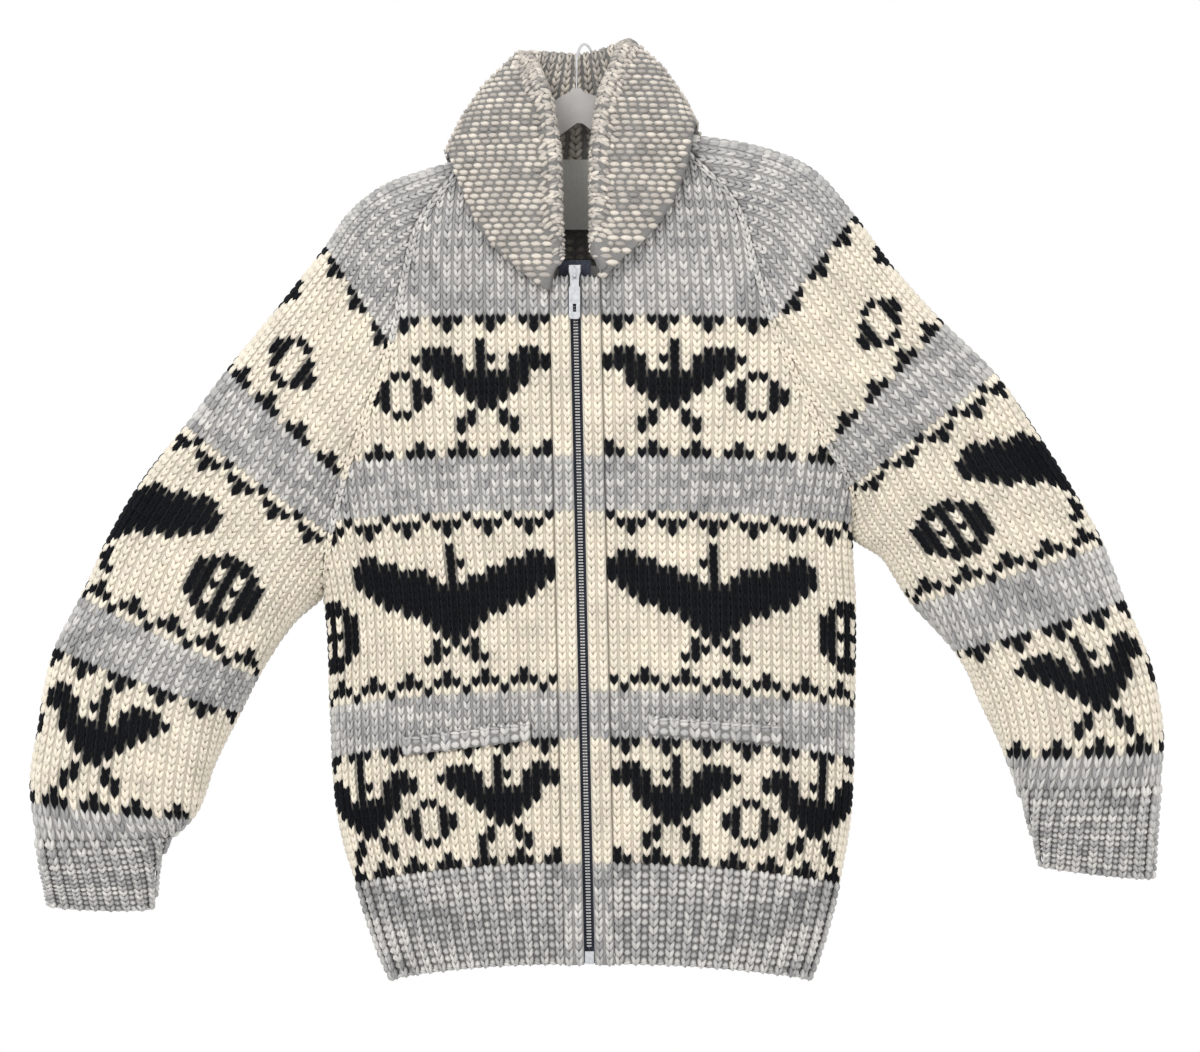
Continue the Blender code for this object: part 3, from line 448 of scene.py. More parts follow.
class Yarns:
    """Collects stitches; each is four corners, a normal, a yarn and its row."""

    def __init__(self):
        self.points, self.faces, self.colours, self.count = [], [], [], 0

    def add(self, corners, normals, yarns, rows, shapes=(V_LEFT, V_RIGHT), lift=0.0, high=1.0):
        if not len(corners):
            return
        corners = np.asarray(corners, float)
        normals = np.asarray(normals, float)
        yarns = np.asarray(yarns, int)
        rows = np.asarray(rows, float)
        low_left, low_right, up_left, up_right = (corners[:, k, None, :] for k in range(4))
        twist = up_right - low_right - up_left + low_left
        for shape, faces in shapes:
            jitter = (random.random((len(corners), 1)) - 0.5)
            a = shape[None, :, 0] + 0.05 * jitter
            b = shape[None, :, 1] + 0.06 * (random.random((len(corners), 1)) - 0.5)
            h = shape[None, :, 2] * high * (1 + 0.16 * jitter) + lift
            a, b, h = (np.broadcast_to(v, (len(corners), len(shape)))[..., None] for v in (a, b, h))
            made = low_left + a * (low_right - low_left) + b * (up_left - low_left) + a * b * twist
            made = made + h * normals[:, None, :]
            firsts = self.count + np.arange(len(corners)) * len(shape)
            self.faces.append(faces[None] + firsts[:, None, None])
            self.points.append(made.reshape(-1, 3))
            self.count += made.shape[0] * made.shape[1]
            self.colours.append(np.repeat(leg_colours(yarns, rows), len(shape), axis=0))

    def mesh(self, name, made):
        points = np.concatenate(self.points)
        faces = np.concatenate([f.reshape(-1, 3) for f in self.faces])
        return mesh_object(name, points, faces, made, np.concatenate(self.colours))


def mesh_object(name, points, faces, made, colours=None):
    mesh = bpy.data.meshes.new(name)
    moved = (np.asarray(points, float) - np.array(hook_seat())) * MM
    faces = [list(map(int, f)) for f in faces]
    mesh.from_pydata(moved.tolist(), [], faces)
    if colours is not None:
        layer = mesh.color_attributes.new("Yarn", "FLOAT_COLOR", "POINT")
        rgba = np.concatenate((colours, np.ones((len(colours), 1))), axis=1)
        layer.data.foreach_set("color", rgba.astype(np.float32).ravel())
    mesh.update()
    work = bmesh.new()
    work.from_mesh(mesh)
    bmesh.ops.recalc_face_normals(work, faces=work.faces)
    work.to_mesh(mesh)
    work.free()
    mesh.shade_smooth()
    mesh.materials.append(made)
    made_object = bpy.data.objects.new(name, mesh)
    bpy.context.scene.collection.objects.link(made_object)
    return made_object


def shell(name, grid, normals, mask, colours, made, outer, inner):
    """Closed thin shell over the kept cells of a grid of corners."""
    rows, columns, _ = grid.shape
    top = (grid - normals * outer).reshape(-1, 3)
    under = (grid - normals * inner).reshape(-1, 3)
    points = [top, under]
    shift = rows * columns
    faces = []
    # Vertex colours of the shell: the painted shade of the cells around each corner
    tint = np.zeros((rows * columns, 3))
    weight = np.zeros(rows * columns)
    for r in range(rows - 1):
        for c in range(columns - 1):
            if not mask[r, c]:
                continue
            a = r * columns + c
            quad = (a, a + 1, a + columns + 1, a + columns)
            faces.append(quad)
            faces.append(tuple(shift + k for k in reversed(quad)))
            for k in quad:
                tint[k] += colours[r, c]
                weight[k] += 1
            for inside, (p, q) in (((c > 0 and mask[r, c - 1]), (a + columns, a)),
                                   ((c < columns - 2 and mask[r, c + 1]), (a + 1, a + columns + 1)),
                                   ((r > 0 and mask[r - 1, c]), (a, a + 1)),
                                   ((r < rows - 2 and mask[r + 1, c]), (a + columns + 1, a + columns))):
                if not inside:
                    faces.append((p, shift + p, shift + q, q))
    tint /= np.maximum(weight, 1)[:, None]
    used = sorted({k for f in faces for k in f})
    place = {k: i for i, k in enumerate(used)}
    points = np.concatenate(points)[used]
    tint = np.concatenate((tint, tint))[used]
    return mesh_object(name, points, [tuple(place[k] for k in f) for f in faces], made, tint)


def cell_normals(grid, outward):
    """Unit normals; a corner clipped at a seam takes its neighbour's from nearer the middle."""
    normals = np.cross(np.gradient(grid, axis=0), np.gradient(grid, axis=1))
    size = np.linalg.norm(normals, axis=2)
    normals = normals / np.maximum(size, 1e-6)[..., None]
    if np.sum(normals * outward) < 0:
        normals = -normals
    middle = grid.shape[1] // 2
    for columns, step in ((range(middle - 1, -1, -1), 1), (range(middle + 1, grid.shape[1]), -1)):
        for c in columns:
            flat = size[:, c] < 1.0
            normals[flat, c] = normals[flat, c + step]
    return normals


# ---------------------------------------------------------------- materials
def add_node(tree, kind, **values):
    made = tree.nodes.new(kind)
    for name, value in values.items():
        made.inputs[name.replace("_", " ")].default_value = value
    return made


def wool_material(name, scale=1.0, fuzz=0.04):
    made = bpy.data.materials.new(name)
    made.use_nodes = True
    tree = made.node_tree
    shader = tree.nodes["Principled BSDF"]
    shader.inputs["Roughness"].default_value = 0.95
    shader.inputs["Sheen Weight"].default_value = fuzz
    shader.inputs["Sheen Roughness"].default_value = 0.6
    shader.inputs["Specular IOR Level"].default_value = 0.06
    place = tree.nodes.new("ShaderNodeTexCoord")
    yarn = tree.nodes.new("ShaderNodeAttribute")
    yarn.attribute_name = "Yarn"
    fibre = add_node(tree, "ShaderNodeTexNoise", Scale=520.0 * scale, Detail=4.0, Roughness=0.65)
    tree.links.new(place.outputs["Object"], fibre.inputs["Vector"])
    blotch = add_node(tree, "ShaderNodeTexNoise", Scale=38.0, Detail=2.0)
    tree.links.new(place.outputs["Object"], blotch.inputs["Vector"])
    both = tree.nodes.new("ShaderNodeMath")
    both.operation = "ADD"
    tree.links.new(fibre.outputs["Fac"], both.inputs[0])
    tree.links.new(blotch.outputs["Fac"], both.inputs[1])
    ramp = add_node(tree, "ShaderNodeMapRange", From_Min=0.6, From_Max=1.4, To_Min=0.80, To_Max=1.16)
    tree.links.new(both.outputs["Value"], ramp.inputs["Value"])
    shade = tree.nodes.new("ShaderNodeVectorMath")
    shade.operation = "SCALE"
    tree.links.new(yarn.outputs["Color"], shade.inputs[0])
    tree.links.new(ramp.outputs["Result"], shade.inputs["Scale"])
    tree.links.new(shade.outputs["Vector"], shader.inputs["Base Color"])
    bump = add_node(tree, "ShaderNodeBump", Strength=0.5, Distance=0.0006)
    tree.links.new(fibre.outputs["Fac"], bump.inputs["Height"])
    tree.links.new(bump.outputs["Normal"], shader.inputs["Normal"])
    return made


def plain_material(name, low, high, scale, roughness, metallic=0.0, bump_by=0.0, stretch=(1, 1, 1)):
    made = bpy.data.materials.new(name)
    made.use_nodes = True
    tree = made.node_tree
    shader = tree.nodes["Principled BSDF"]
    shader.inputs["Metallic"].default_value = metallic
    place = tree.nodes.new("ShaderNodeTexCoord")
    map_node = add_node(tree, "ShaderNodeMapping", Scale=stretch)
    noise = add_node(tree, "ShaderNodeTexNoise", Scale=scale, Detail=5.0)
    tree.links.new(place.outputs["Object"], map_node.inputs["Vector"])
    tree.links.new(map_node.outputs["Vector"], noise.inputs["Vector"])
    ramp = tree.nodes.new("ShaderNodeValToRGB")
    ramp.color_ramp.elements[0].position = 0.3
    ramp.color_ramp.elements[0].color = (*low, 1)
    ramp.color_ramp.elements[1].position = 0.7
    ramp.color_ramp.elements[1].color = (*high, 1)
    tree.links.new(noise.outputs["Fac"], ramp.inputs["Fac"])
    tree.links.new(ramp.outputs["Color"], shader.inputs["Base Color"])
    rough = add_node(tree, "ShaderNodeMapRange", To_Min=max(0.05, roughness - 0.08),
                     To_Max=min(1.0, roughness + 0.08))
    tree.links.new(noise.outputs["Fac"], rough.inputs["Value"])
    tree.links.new(rough.outputs["Result"], shader.inputs["Roughness"])
    if bump_by:
        bump = add_node(tree, "ShaderNodeBump", Strength=0.4, Distance=bump_by)
        tree.links.new(noise.outputs["Fac"], bump.inputs["Height"])
        tree.links.new(bump.outputs["Normal"], shader.inputs["Normal"])
    return made


wool = wool_material("wool_yarn")
ground = wool_material("wool_ground", 0.7, 0.02)
# Shell colours, one for each yarn: the yarn darkened, painted shade for the gaps between the stitches where
# the shell shows
HEATHER = PALE_HAIR + DARK_HAIR
GAP_SHADE = np.stack((CREAM_WOOL * 0.72, HEATHER * 0.32, BLACK_WOOL, HEATHER * 0.33))


def wear(node, grid, normals, mask, shade_paint, yarns, outer=0.3, inner=4.3):
    """Cloth shell on a grid and its yarn stand for one CAD node."""
    cloth = shell(f"{node}_cloth", grid, normals, mask, shade_paint, ground, outer, inner)
    dress_node(cloth, yarns, node)


def dress_node(cloth, collected, node):
    yarns = collected.mesh(f"{node}_stitches", wool)
    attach(cloth, "sweater")
    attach(yarns, "sweater")
    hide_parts(node)


# ---------------------------------------------------------------- body
def knit_corner(side, face, share, row, start):
    """Point of the body where a column edge crosses a row edge."""
    below = row_below(row) + float(smooth(ROW_DROP, 1, row)) * share ** 2
    if face > 0:
        below += BACK_SAG * (1 - share ** 2)
    arc = start + (side_arc(side, face, below) - start) * share
    limit = 1e9
    if -below > -float(smooth(SLEEVE_ROWS[side], 4, ARMPIT_ROW)):
        limit = raglan_arc(side, face, below) - 0.3
    return body_point(side, face, min(arc, limit), below), arc, below, limit


def body_cells(side, face, columns, rows, start):
    grid = np.zeros((len(rows), columns + 1, 3))
    arcs = np.zeros((len(rows), columns + 1))
    downs = np.zeros_like(arcs)
    limits = np.zeros_like(arcs)
    for i, row in enumerate(rows):
        for c in range(columns + 1):
            corner = knit_corner(side, face, c / columns, row, start)
            grid[i, c], arcs[i, c], downs[i, c], limits[i, c] = corner
    neck_edge = float(smooth(SLEEVE_ROWS[side], 4, NECK_ROW))
    middle = FRONT_TOP if face < 0 else 99.0
    low = arcs[:-1, :-1]
    width = arcs[:-1, 1:] - low
    kept_width = np.minimum(arcs[:-1, 1:], limits[:-1, 1:]) - low
    share = np.clip((low + width / 2 - start) / np.maximum(limits[:-1, :-1].clip(max=260) - start, 1), 0, 1)
    neckline = middle + (neck_edge - middle) * share
    under_neck = (downs[:-1, :-1] + downs[1:, :-1]) / 2 > neckline - 10
    mask = (kept_width > 0.4) & under_neck
    full = (kept_width > width * 0.45) & under_neck
    return grid, mask, full


def cell_stitches(grid, normals, full):
    r, c = np.nonzero(full)
    corners = np.stack((grid[r, c], grid[r, c + 1], grid[r + 1, c], grid[r + 1, c + 1]), axis=1)
    centre = normals[r, c] + normals[r, c + 1] + normals[r + 1, c] + normals[r + 1, c + 1]
    centre /= np.linalg.norm(centre, axis=1, keepdims=True)
    return r, c, corners, centre


TOP_ROW = 108
FRONT_COLUMNS = 27
BACK_COLUMNS = 29
HEM_COLUMNS = 28


def knit_front(side):
    end = "left" if side < 0 else "right"
    start = FRONT_EDGE + BAND_WIDTH + SEAM_GAP
    rows = list(range(RIB_ROWS, TOP_ROW))
    grid, mask, full = body_cells(side, -1, FRONT_COLUMNS, rows, start)
    normals = cell_normals(grid, np.array([0, -1, 0]))
    r, c, corners, centre = cell_stitches(grid, normals, full)
    yarns = Yarns()
    kinds = [yarn_at(int(col), RIB_ROWS + int(row)) for row, col in zip(r, c)]
    yarns.add(corners, centre, kinds, r)
    shade_paint = np.array([[GAP_SHADE[yarn_at(col, RIB_ROWS + row)] for col in range(FRONT_COLUMNS)]
                      for row in range(len(rows) - 1)])
    seam_yarn(side, -1, yarns)
    wear(f"front_{end}", grid, normals, mask, shade_paint, yarns)


def seam_yarn(side, face, yarns):
    """A column of long stitches along the raglan seam."""
    rows = np.arange(ARMPIT_ROW + 1, NECK_ROW - 1)
    line = []
    for row in np.append(rows, rows[-1] + 1):
        below = float(smooth(SLEEVE_ROWS[side], 4, row))
        arc = raglan_arc(side, face, below)
        near = body_point(side, face, arc - 5.0, below)
        away = sleeve_point(side, face, row, 0.965)
        here = body_point(side, face, arc, below)
        far = here + (away - here) / max(np.linalg.norm(away - here), 1e-6) * 4.5
        line.append((near, far))
    line = np.array(line)
    corners = np.stack((line[:-1, 0], line[:-1, 1], line[1:, 0], line[1:, 1]), axis=1)
    normals = np.cross(corners[:, 1] - corners[:, 0], corners[:, 2] - corners[:, 0])
    normals /= np.linalg.norm(normals, axis=1, keepdims=True)
    normals *= np.sign(normals[:, 1:2] * face + 1e-9)
    kinds = [GREY if yarn_at(0, int(row), True) == GREY else CREAM for row in rows]
    yarns.add(corners, normals, kinds, rows, lift=0.4)


def knit_back():
    columns = BACK_COLUMNS
    rows = list(range(RIB_ROWS, TOP_ROW))
    halves = [body_cells(side, 1, columns, rows, 0.0) for side in (-1, 1)]
    grid = np.concatenate((halves[0][0][:, :0:-1], halves[1][0]), axis=1)
    mask = np.concatenate((halves[0][1][:, ::-1], halves[1][1]), axis=1)
    full = np.concatenate((halves[0][2][:, ::-1], halves[1][2]), axis=1)
    normals = cell_normals(grid, np.array([0, 1, 0]))
    r, c, corners, centre = cell_stitches(grid, normals, full)
    column = np.where(c < columns, columns - 1 - c, c - columns) - 1
    kinds = [yarn_at(int(col), RIB_ROWS + int(row)) for row, col in zip(r, column)]
    yarns = Yarns()
    yarns.add(corners, centre, kinds, r)
    shade_paint = np.array([[GAP_SHADE[yarn_at((columns - 1 - k if k < columns else k - columns) - 1, RIB_ROWS + row)]
                       for k in range(2 * columns)] for row in range(len(rows) - 1)])
    seams = Yarns()
    inside = (abs(c - columns + 0.5) < 9) & (r > 66)
    within = corners[inside] - centre[inside][:, None] * 3.4
    seams.add(within, -centre[inside], np.full(inside.sum(), WARM), r[inside], (BUMP,))
    seam_yarn(-1, 1, seams)
    seam_yarn(1, 1, seams)
    wear("back", grid, normals, mask, shade_paint, yarns)
    extra = seams.mesh("back_raglan_stitches", wool)
    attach(extra, "sweater")


# ---------------------------------------------------------------- sleeves
STITCH = 9.3               # width of one stitch
CUFF_RIB = 6.75            # width of one rib column of a cuff


def sleeve_line(side, face, row):
    turns = np.linspace(0, 1, 33)
    points = np.array([sleeve_point(side, face, row, turn) for turn in turns])
    arc = np.concatenate(([0], np.cumsum(np.linalg.norm(np.diff(points, axis=0), axis=1))))
    return points, arc


def line_at(points, arc, at):
    at = np.clip(at, 0, arc[-1])
    return np.stack([np.interp(at, arc, points[:, k]) for k in range(3)], axis=-1)


def sleeve_cells(side, rows, pitch):
    """Corners over the back half, the outer edge and the front half, clipped at the inner edge."""
    lines = {(row, face): sleeve_line(side, face, row) for row in rows for face in (-1, 1)}
    widest = max(arc[-1] for _, arc in lines.values())
    reach = int(math.ceil(widest / pitch))
    steps = np.arange(-reach, reach + 1)
    grid = np.zeros((len(rows), len(steps), 3))
    total = np.zeros((len(rows), len(steps)))
    for i, row in enumerate(rows):
        for k, step in enumerate(steps):
            face = -1 if step >= 0 else 1
            points, arc = lines[(row, face)]
            total[i, k] = arc[-1]
            grid[i, k] = line_at(points, arc, abs(step) * pitch)
    near = np.minimum(abs(steps[:-1]), abs(steps[1:])) * pitch
    room = np.minimum(total[:-1, :-1], total[1:, 1:]) - near
    mask = room > 0.4
    full = room > pitch * 0.5
    return grid, steps, mask, full


def knit_sleeve(side):
    end = "left" if side < 0 else "right"
    rows = list(range(RIB_ROWS, NECK_ROW + 1))
    grid, steps, mask, full = sleeve_cells(side, rows, STITCH)
    outward = grid - grid.mean(axis=1, keepdims=True)
    normals = cell_normals(grid, outward)
    r, c, corners, centre = cell_stitches(grid, normals, full)
    kinds = [yarn_at(int(steps[col]), RIB_ROWS + int(row), True) for row, col in zip(r, c)]
    yarns = Yarns()
    yarns.add(corners, centre, kinds, r)
    shade_paint = np.array([[GAP_SHADE[yarn_at(int(k), RIB_ROWS + row, True)] for k in steps[:-1]]
                      for row in range(len(rows) - 1)])
    underarm(side, yarns, range(RIB_ROWS, ARMPIT_ROW))
    wear(f"sleeve_{end}", grid, normals, mask, shade_paint, yarns)


def underarm(side, yarns, rows):
    """A column of stitches along the inner edge of the sleeve."""
    line = []
    rows = list(rows)
    for row in rows + [rows[-1] + 1]:
        front, back = sleeve_point(side, -1, row, 0.94), sleeve_point(side, 1, row, 0.94)
        tip = sleeve_point(side, -1, row, 1.0)
        line.append((tip + (front - tip) * min(1, 5 / np.linalg.norm(front - tip)),
                     tip + (back - tip) * min(1, 5 / np.linalg.norm(back - tip)), tip))
    line = np.array(line)
    corners = np.stack((line[:-1, 0], line[:-1, 1], line[1:, 0], line[1:, 1]), axis=1)
    normals = np.cross(corners[:, 1] - corners[:, 0], corners[:, 2] - corners[:, 0])
    normals /= np.linalg.norm(normals, axis=1, keepdims=True)
    normals *= np.sign(-normals[:, :1] * side)
    kinds = [yarn_at(-1, row, True) for row in rows]
    kinds = [CREAM if kind == BLACK else kind for kind in kinds]
    yarns.add(corners, normals, kinds, rows, lift=1.0)


def knit_cuff(side):
    end = "left" if side < 0 else "right"
    rows = list(range(0, RIB_ROWS + 1))
    grid, steps, mask, full = sleeve_cells(side, rows, CUFF_RIB)
    normals = cell_normals(grid, grid - grid.mean(axis=1, keepdims=True))
    r, c, corners, centre = cell_stitches(grid, normals, full)
    yarns = Yarns()
    add_rib(yarns, corners, centre, r, steps[c] % 2 == 0, 0.22)
    # The cuff's shell is its grey darkened further: painted shade deep between the ribs
    shade_paint = np.tile(GAP_SHADE[GREY] * 0.6, (len(rows) - 1, len(steps) - 1, 1))
    wear(f"cuff_{end}", grid, normals, mask, shade_paint, yarns, 0.8, 5.0)


def add_grey(yarns, kept, corners, centre, r, *shapes, **place):
    yarns.add(corners[kept], centre[kept], np.full(kept.sum(), GREY), r[kept], *shapes, **place)


def add_rib(yarns, corners, centre, r, raised, wider):
    """Raised columns of stitches, purl bumps sunk between them and a chain at the cast-off edge."""
    add_grey(yarns, raised, widened(corners, wider), centre, r, lift=1.2, high=1.25)
    add_grey(yarns, ~raised, corners, centre, r, (BUMP,), lift=-1.2)
    add_grey(yarns, r == 0, lowered(corners), centre, r, (CHAIN,), lift=0.5)


def widened(corners, by):
    """Stitches a little wider than their column, so that raised ribs stand forward."""
    low, high = corners[:, 1] - corners[:, 0], corners[:, 3] - corners[:, 2]
    return np.stack((corners[:, 0] - low * by, corners[:, 1] + low * by,
                     corners[:, 2] - high * by, corners[:, 3] + high * by), axis=1)


def lowered(corners, by=0.35):
    up = corners[:, 2:] - corners[:, :2]
    down = corners.copy()
    down[:, :2] -= up * 0.12
    down[:, 2:] -= up * by
    return down


# ---------------------------------------------------------------- hem
def knit_hem(name, parts, face):
    rows = list(range(0, RIB_ROWS + 1))
    grids = []
    columns = HEM_COLUMNS
    for side in parts:
        start = FRONT_EDGE + BAND_WIDTH + SEAM_GAP if face < 0 else 0.0
        grids.append(np.array([[knit_corner(side, face, c / columns, row, start)[0]
                                for c in range(columns + 1)] for row in rows]))
    grid = grids[0] if len(grids) == 1 else np.concatenate((grids[0][:, :0:-1], grids[1]), axis=1)
    normals = cell_normals(grid, np.array([0, face, 0]))
    mask = np.ones((grid.shape[0] - 1, grid.shape[1] - 1), bool)
    r, c, corners, centre = cell_stitches(grid, normals, mask)
    raised = c % 2 == 0
    yarns = Yarns()
    add_rib(yarns, corners, centre, r, raised, 0.16)
    if face > 0:
        inner = corners - centre[:, None] * RIB_WALL * 0.72
        add_grey(yarns, ~raised, widened(inner, 0.12), -centre, r)
    # The hem's shell is its grey darkened further: painted shade deep between the ribs
    shade_paint = np.tile(GAP_SHADE[GREY] * 0.6, (mask.shape[0], mask.shape[1], 1))
    wear(name, grid, normals, mask, shade_paint, yarns, 0.8, 5.0)


# ---------------------------------------------------------------- zip bands and pocket welts
def knit_band(side):
    end = "left" if side < 0 else "right"
    rows = np.arange(0, int((HEM_BELOW - FRONT_TOP) / ROW_PITCH) + 1)
    arcs = FRONT_EDGE + np.array((0, BAND_WIDTH / 2, BAND_WIDTH))
    grid = np.array([[body_point(side, -1, arc, row_below(row) + arc * 0.04) - np.array([0, BAND_PROUD, 0])
                      for arc in arcs] for row in rows])
    normals = cell_normals(grid, np.array([0, -1, 0]))
    mask = np.ones((len(rows) - 1, 2), bool)
    r, c, corners, centre = cell_stitches(grid, normals, mask)
    kinds = [GREY if yarn_at(3, int(row)) == GREY else CREAM for row in r]
    yarns = Yarns()
    yarns.add(corners, centre, kinds, r)
    shade_paint = np.array([[GAP_SHADE[GREY if yarn_at(3, int(row)) == GREY else CREAM]] * 2 for row in rows[:-1]])
    wear(f"front_band_{end}", grid, normals, mask, shade_paint, yarns,
         inner=5.0)


def knit_welt(side):
    end = "left" if side < 0 else "right"
    first, last, below_first, below_last = POCKETS[side]
    columns = 13
    rows = 3
    grid = np.zeros((rows, columns + 1, 3))
    for i in range(rows):
        for c in range(columns + 1):
            share = c / columns
            below = below_first + (below_last - below_first) * share + WELT_HEIGHT * (1 - i / (rows - 1))
            grid[i, c] = body_point(side, -1, first + (last - first) * share, below)
            grid[i, c, 1] -= WELT_WALL + 0.6
    normals = cell_normals(grid, np.array([0, -1, 0]))
    mask = np.ones((rows - 1, columns), bool)
    r, c, corners, centre = cell_stitches(grid, normals, mask)
    yarns = Yarns()
    raised = c % 2 == 0
    add_grey(yarns, raised, widened(corners, 0.15), centre, r)
    add_grey(yarns, ~raised, corners, centre, r, (BUMP,), lift=-1.0)
    top = r == rows - 2
    up = corners[top].copy()
    rise = up[:, 2:] - up[:, :2]
    up[:, :2] += rise * 0.55
    up[:, 2:] += rise * 0.1
    yarns.add(up, centre[top], np.full(top.sum(), GREY), r[top], (CHAIN,), lift=0.4, high=0.8)
    # The welt's shell is its grey darkened further: painted shade between its ribs
    shade_paint = np.tile(GAP_SHADE[GREY] * 0.7, (rows - 1, columns, 1))
    wear(f"pocket_welt_{end}", grid, normals, mask, shade_paint, yarns,
         inner=3.4)


# ---------------------------------------------------------------- collar
PURL_HEIGHT = 5.3
PURL_WIDTH = 8.8


def collar_surface(count_along, count_over):
    """Middle surface of the collar, its visible-side normals, along the neck and over the fold."""
    rows = [(index, *row) for index, row in enumerate(COLLAR_STATIONS)]
    at = np.linspace(0, len(rows) - 1, count_along)
    stations = np.transpose([smooth(rows, column, at) for column in range(1, 10)])
    folds = np.array([(s[0], s[1], -s[2]) for s in stations])
    falls = np.array([(s[3], s[4], -s[5]) for s in stations])
    stands = np.array([(s[6], s[7], -s[8]) for s in stations])
    tangents = np.gradient(folds, axis=0)
    lines, sides = [], []
    for fold, fall, stand, tangent in zip(folds, falls, stands, tangents):
        tangent = tangent / np.linalg.norm(tangent)
        inward = (stand - fall) - tangent * np.dot(stand - fall, tangent)
        middle = (fall + stand) / 2 - fold
        middle /= np.linalg.norm(middle)
        inward -= middle * np.dot(inward, middle)
        inward /= np.linalg.norm(inward)
        line = np.array(collar_profile(fold, fall, stand, inward))
        length = np.concatenate(([0], np.cumsum(np.linalg.norm(np.diff(line, axis=0), axis=1))))
        evenly = np.linspace(0, length[-1], count_over)
        line = np.stack([np.interp(evenly, length, line[:, k]) for k in range(3)], axis=1)
        along = np.gradient(line, axis=0)
        along /= np.linalg.norm(along, axis=1, keepdims=True)
        across = np.cross(along, tangent)
        across /= np.linalg.norm(across, axis=1, keepdims=True)
        if np.dot(across[-3], -inward) < 0:
            across = -across
        lines.append(line)
        sides.append(across)
    return np.array(lines), np.array(sides)


def knit_collar():
    lines, sides = collar_surface(121, 37)
    surface = lines + sides * (COLLAR_WALL / 2 - 0.6)
    under = lines - sides * (COLLAR_WALL / 2 - 1.4)
    rows, columns, _ = surface.shape
    faces = []
    shift = rows * columns
    for r in range(rows - 1):
        for c in range(columns - 1):
            a = r * columns + c
            quad = (a, a + 1, a + columns + 1, a + columns)
            faces.append(quad)
            faces.append(tuple(shift + k for k in reversed(quad)))
    rim = list(range(columns)) + [r * columns + columns - 1 for r in range(1, rows)]
    rim += [(rows - 1) * columns + c for c in range(columns - 2, -1, -1)]
    rim += [r * columns for r in range(rows - 2, 0, -1)]
    for a, b in zip(rim, rim[1:] + rim[:1]):
        faces.append((a, shift + a, shift + b, b))
    points = np.concatenate((surface.reshape(-1, 3), under.reshape(-1, 3)))
    # The collar's shell is its warm grey darkened further: painted shade between the purl bumps
    cloth = mesh_object("collar_cloth", points, faces, ground, np.tile(GAP_SHADE[WARM] * 0.62, (len(points), 1)))
    yarns = Yarns()
    crest = np.argmax(lines[:, 12:25, 2], axis=1) + 12
    corners, normals, marks = [], [], []
    levels = np.arange(-245.0, -4.0, PURL_HEIGHT)
    for number, level in enumerate(levels):
        run = []
        for i in range(rows):
            heights = surface[i, crest[i]:, 2]
            if heights[0] <= level or heights[-1] > level + 1.5:
                if run:
                    lay_bumps(run, corners, normals, marks, number)
                run = []
                continue
            k = np.interp(-level, -heights, np.arange(len(heights)))
            low = min(int(k), len(heights) - 2)
            t = k - low
            point = surface[i, crest[i] + low] * (1 - t) + surface[i, crest[i] + low + 1] * t
            normal = sides[i, crest[i] + low] * (1 - t) + sides[i, crest[i] + low + 1] * t
            run.append((point, normal / np.linalg.norm(normal)))
        if run:
            lay_bumps(run, corners, normals, marks, number)
    edge_bumps(surface, sides, crest, corners, normals, marks)
    yarns.add(corners, normals, np.full(len(corners), WARM), marks, (BUMP,))
    stand_columns(surface, sides, crest, yarns)
    dress_node(cloth, yarns, "collar")


def lay_bumps(run, corners, normals, marks, number):
    """Purl bumps end to end along one level line of the fall."""
    points = np.array([p for p, _ in run])
    facing = np.array([n for _, n in run])
    if len(points) < 2:
        return
    arc = np.concatenate(([0], np.cumsum(np.linalg.norm(np.diff(points, axis=0), axis=1))))
    count = int(arc[-1] / PURL_WIDTH)
    if count < 1:
        return
    pitch = arc[-1] / count
    for k in range(count):
        ends = [line_at(points, arc, (k + e + 0.5 * (number % 2)) * pitch) for e in (0, 1)]
        normal = line_at(facing, arc, (k + 0.5 + 0.5 * (number % 2)) * pitch)
        normal /= np.linalg.norm(normal)
        way = ends[1] - ends[0]
        if np.linalg.norm(way) < 2:
            continue
        up = np.cross(normal, way)
        up *= PURL_HEIGHT / np.linalg.norm(up) * (1 if up[2] > 0 else -1)
        corners.append((ends[0] - up / 2, ends[1] - up / 2, ends[0] + up / 2, ends[1] + up / 2))
        normals.append(normal)
        marks.append(number)


def edge_bumps(surface, sides, crest, corners, normals, marks):
    """Purl bumps that wrap the fold down both lapels, where the level lines run out."""
    line = surface[np.arange(len(surface)), crest]
    arc = np.concatenate(([0], np.cumsum(np.linalg.norm(np.diff(line, axis=0), axis=1))))
    for number, at in enumerate(np.arange(2.0, arc[-1] - 2.0, PURL_HEIGHT)):
        i = int(round(float(np.interp(at, arc, np.arange(len(arc))))))
        before, after = line[max(i - 1, 0)], line[min(i + 1, len(line) - 1)]
        way = (after - before) / np.linalg.norm(after - before)
        if abs(way[2]) < 0.45:
            continue
        section = surface[i]
        reach = np.concatenate(([0], np.cumsum(np.linalg.norm(np.diff(section, axis=0), axis=1))))
        middle = reach[crest[i]]
        way *= PURL_HEIGHT * (1 if way[2] > 0 else -1)
        for low, high in ((-10.0, -1.5), (-1.5, 7.0), (7.0, 15.5)):
            shift = 2.0 * (number % 2)
            ends = [line_at(section, reach, middle + off + shift) for off in (low, high)]
            normal = line_at(sides[i], reach, middle + (low + high) / 2 + shift)
            corners.append((ends[0] - way / 2, ends[1] - way / 2, ends[0] + way / 2, ends[1] + way / 2))
            normals.append(normal / np.linalg.norm(normal))
            marks.append(number)


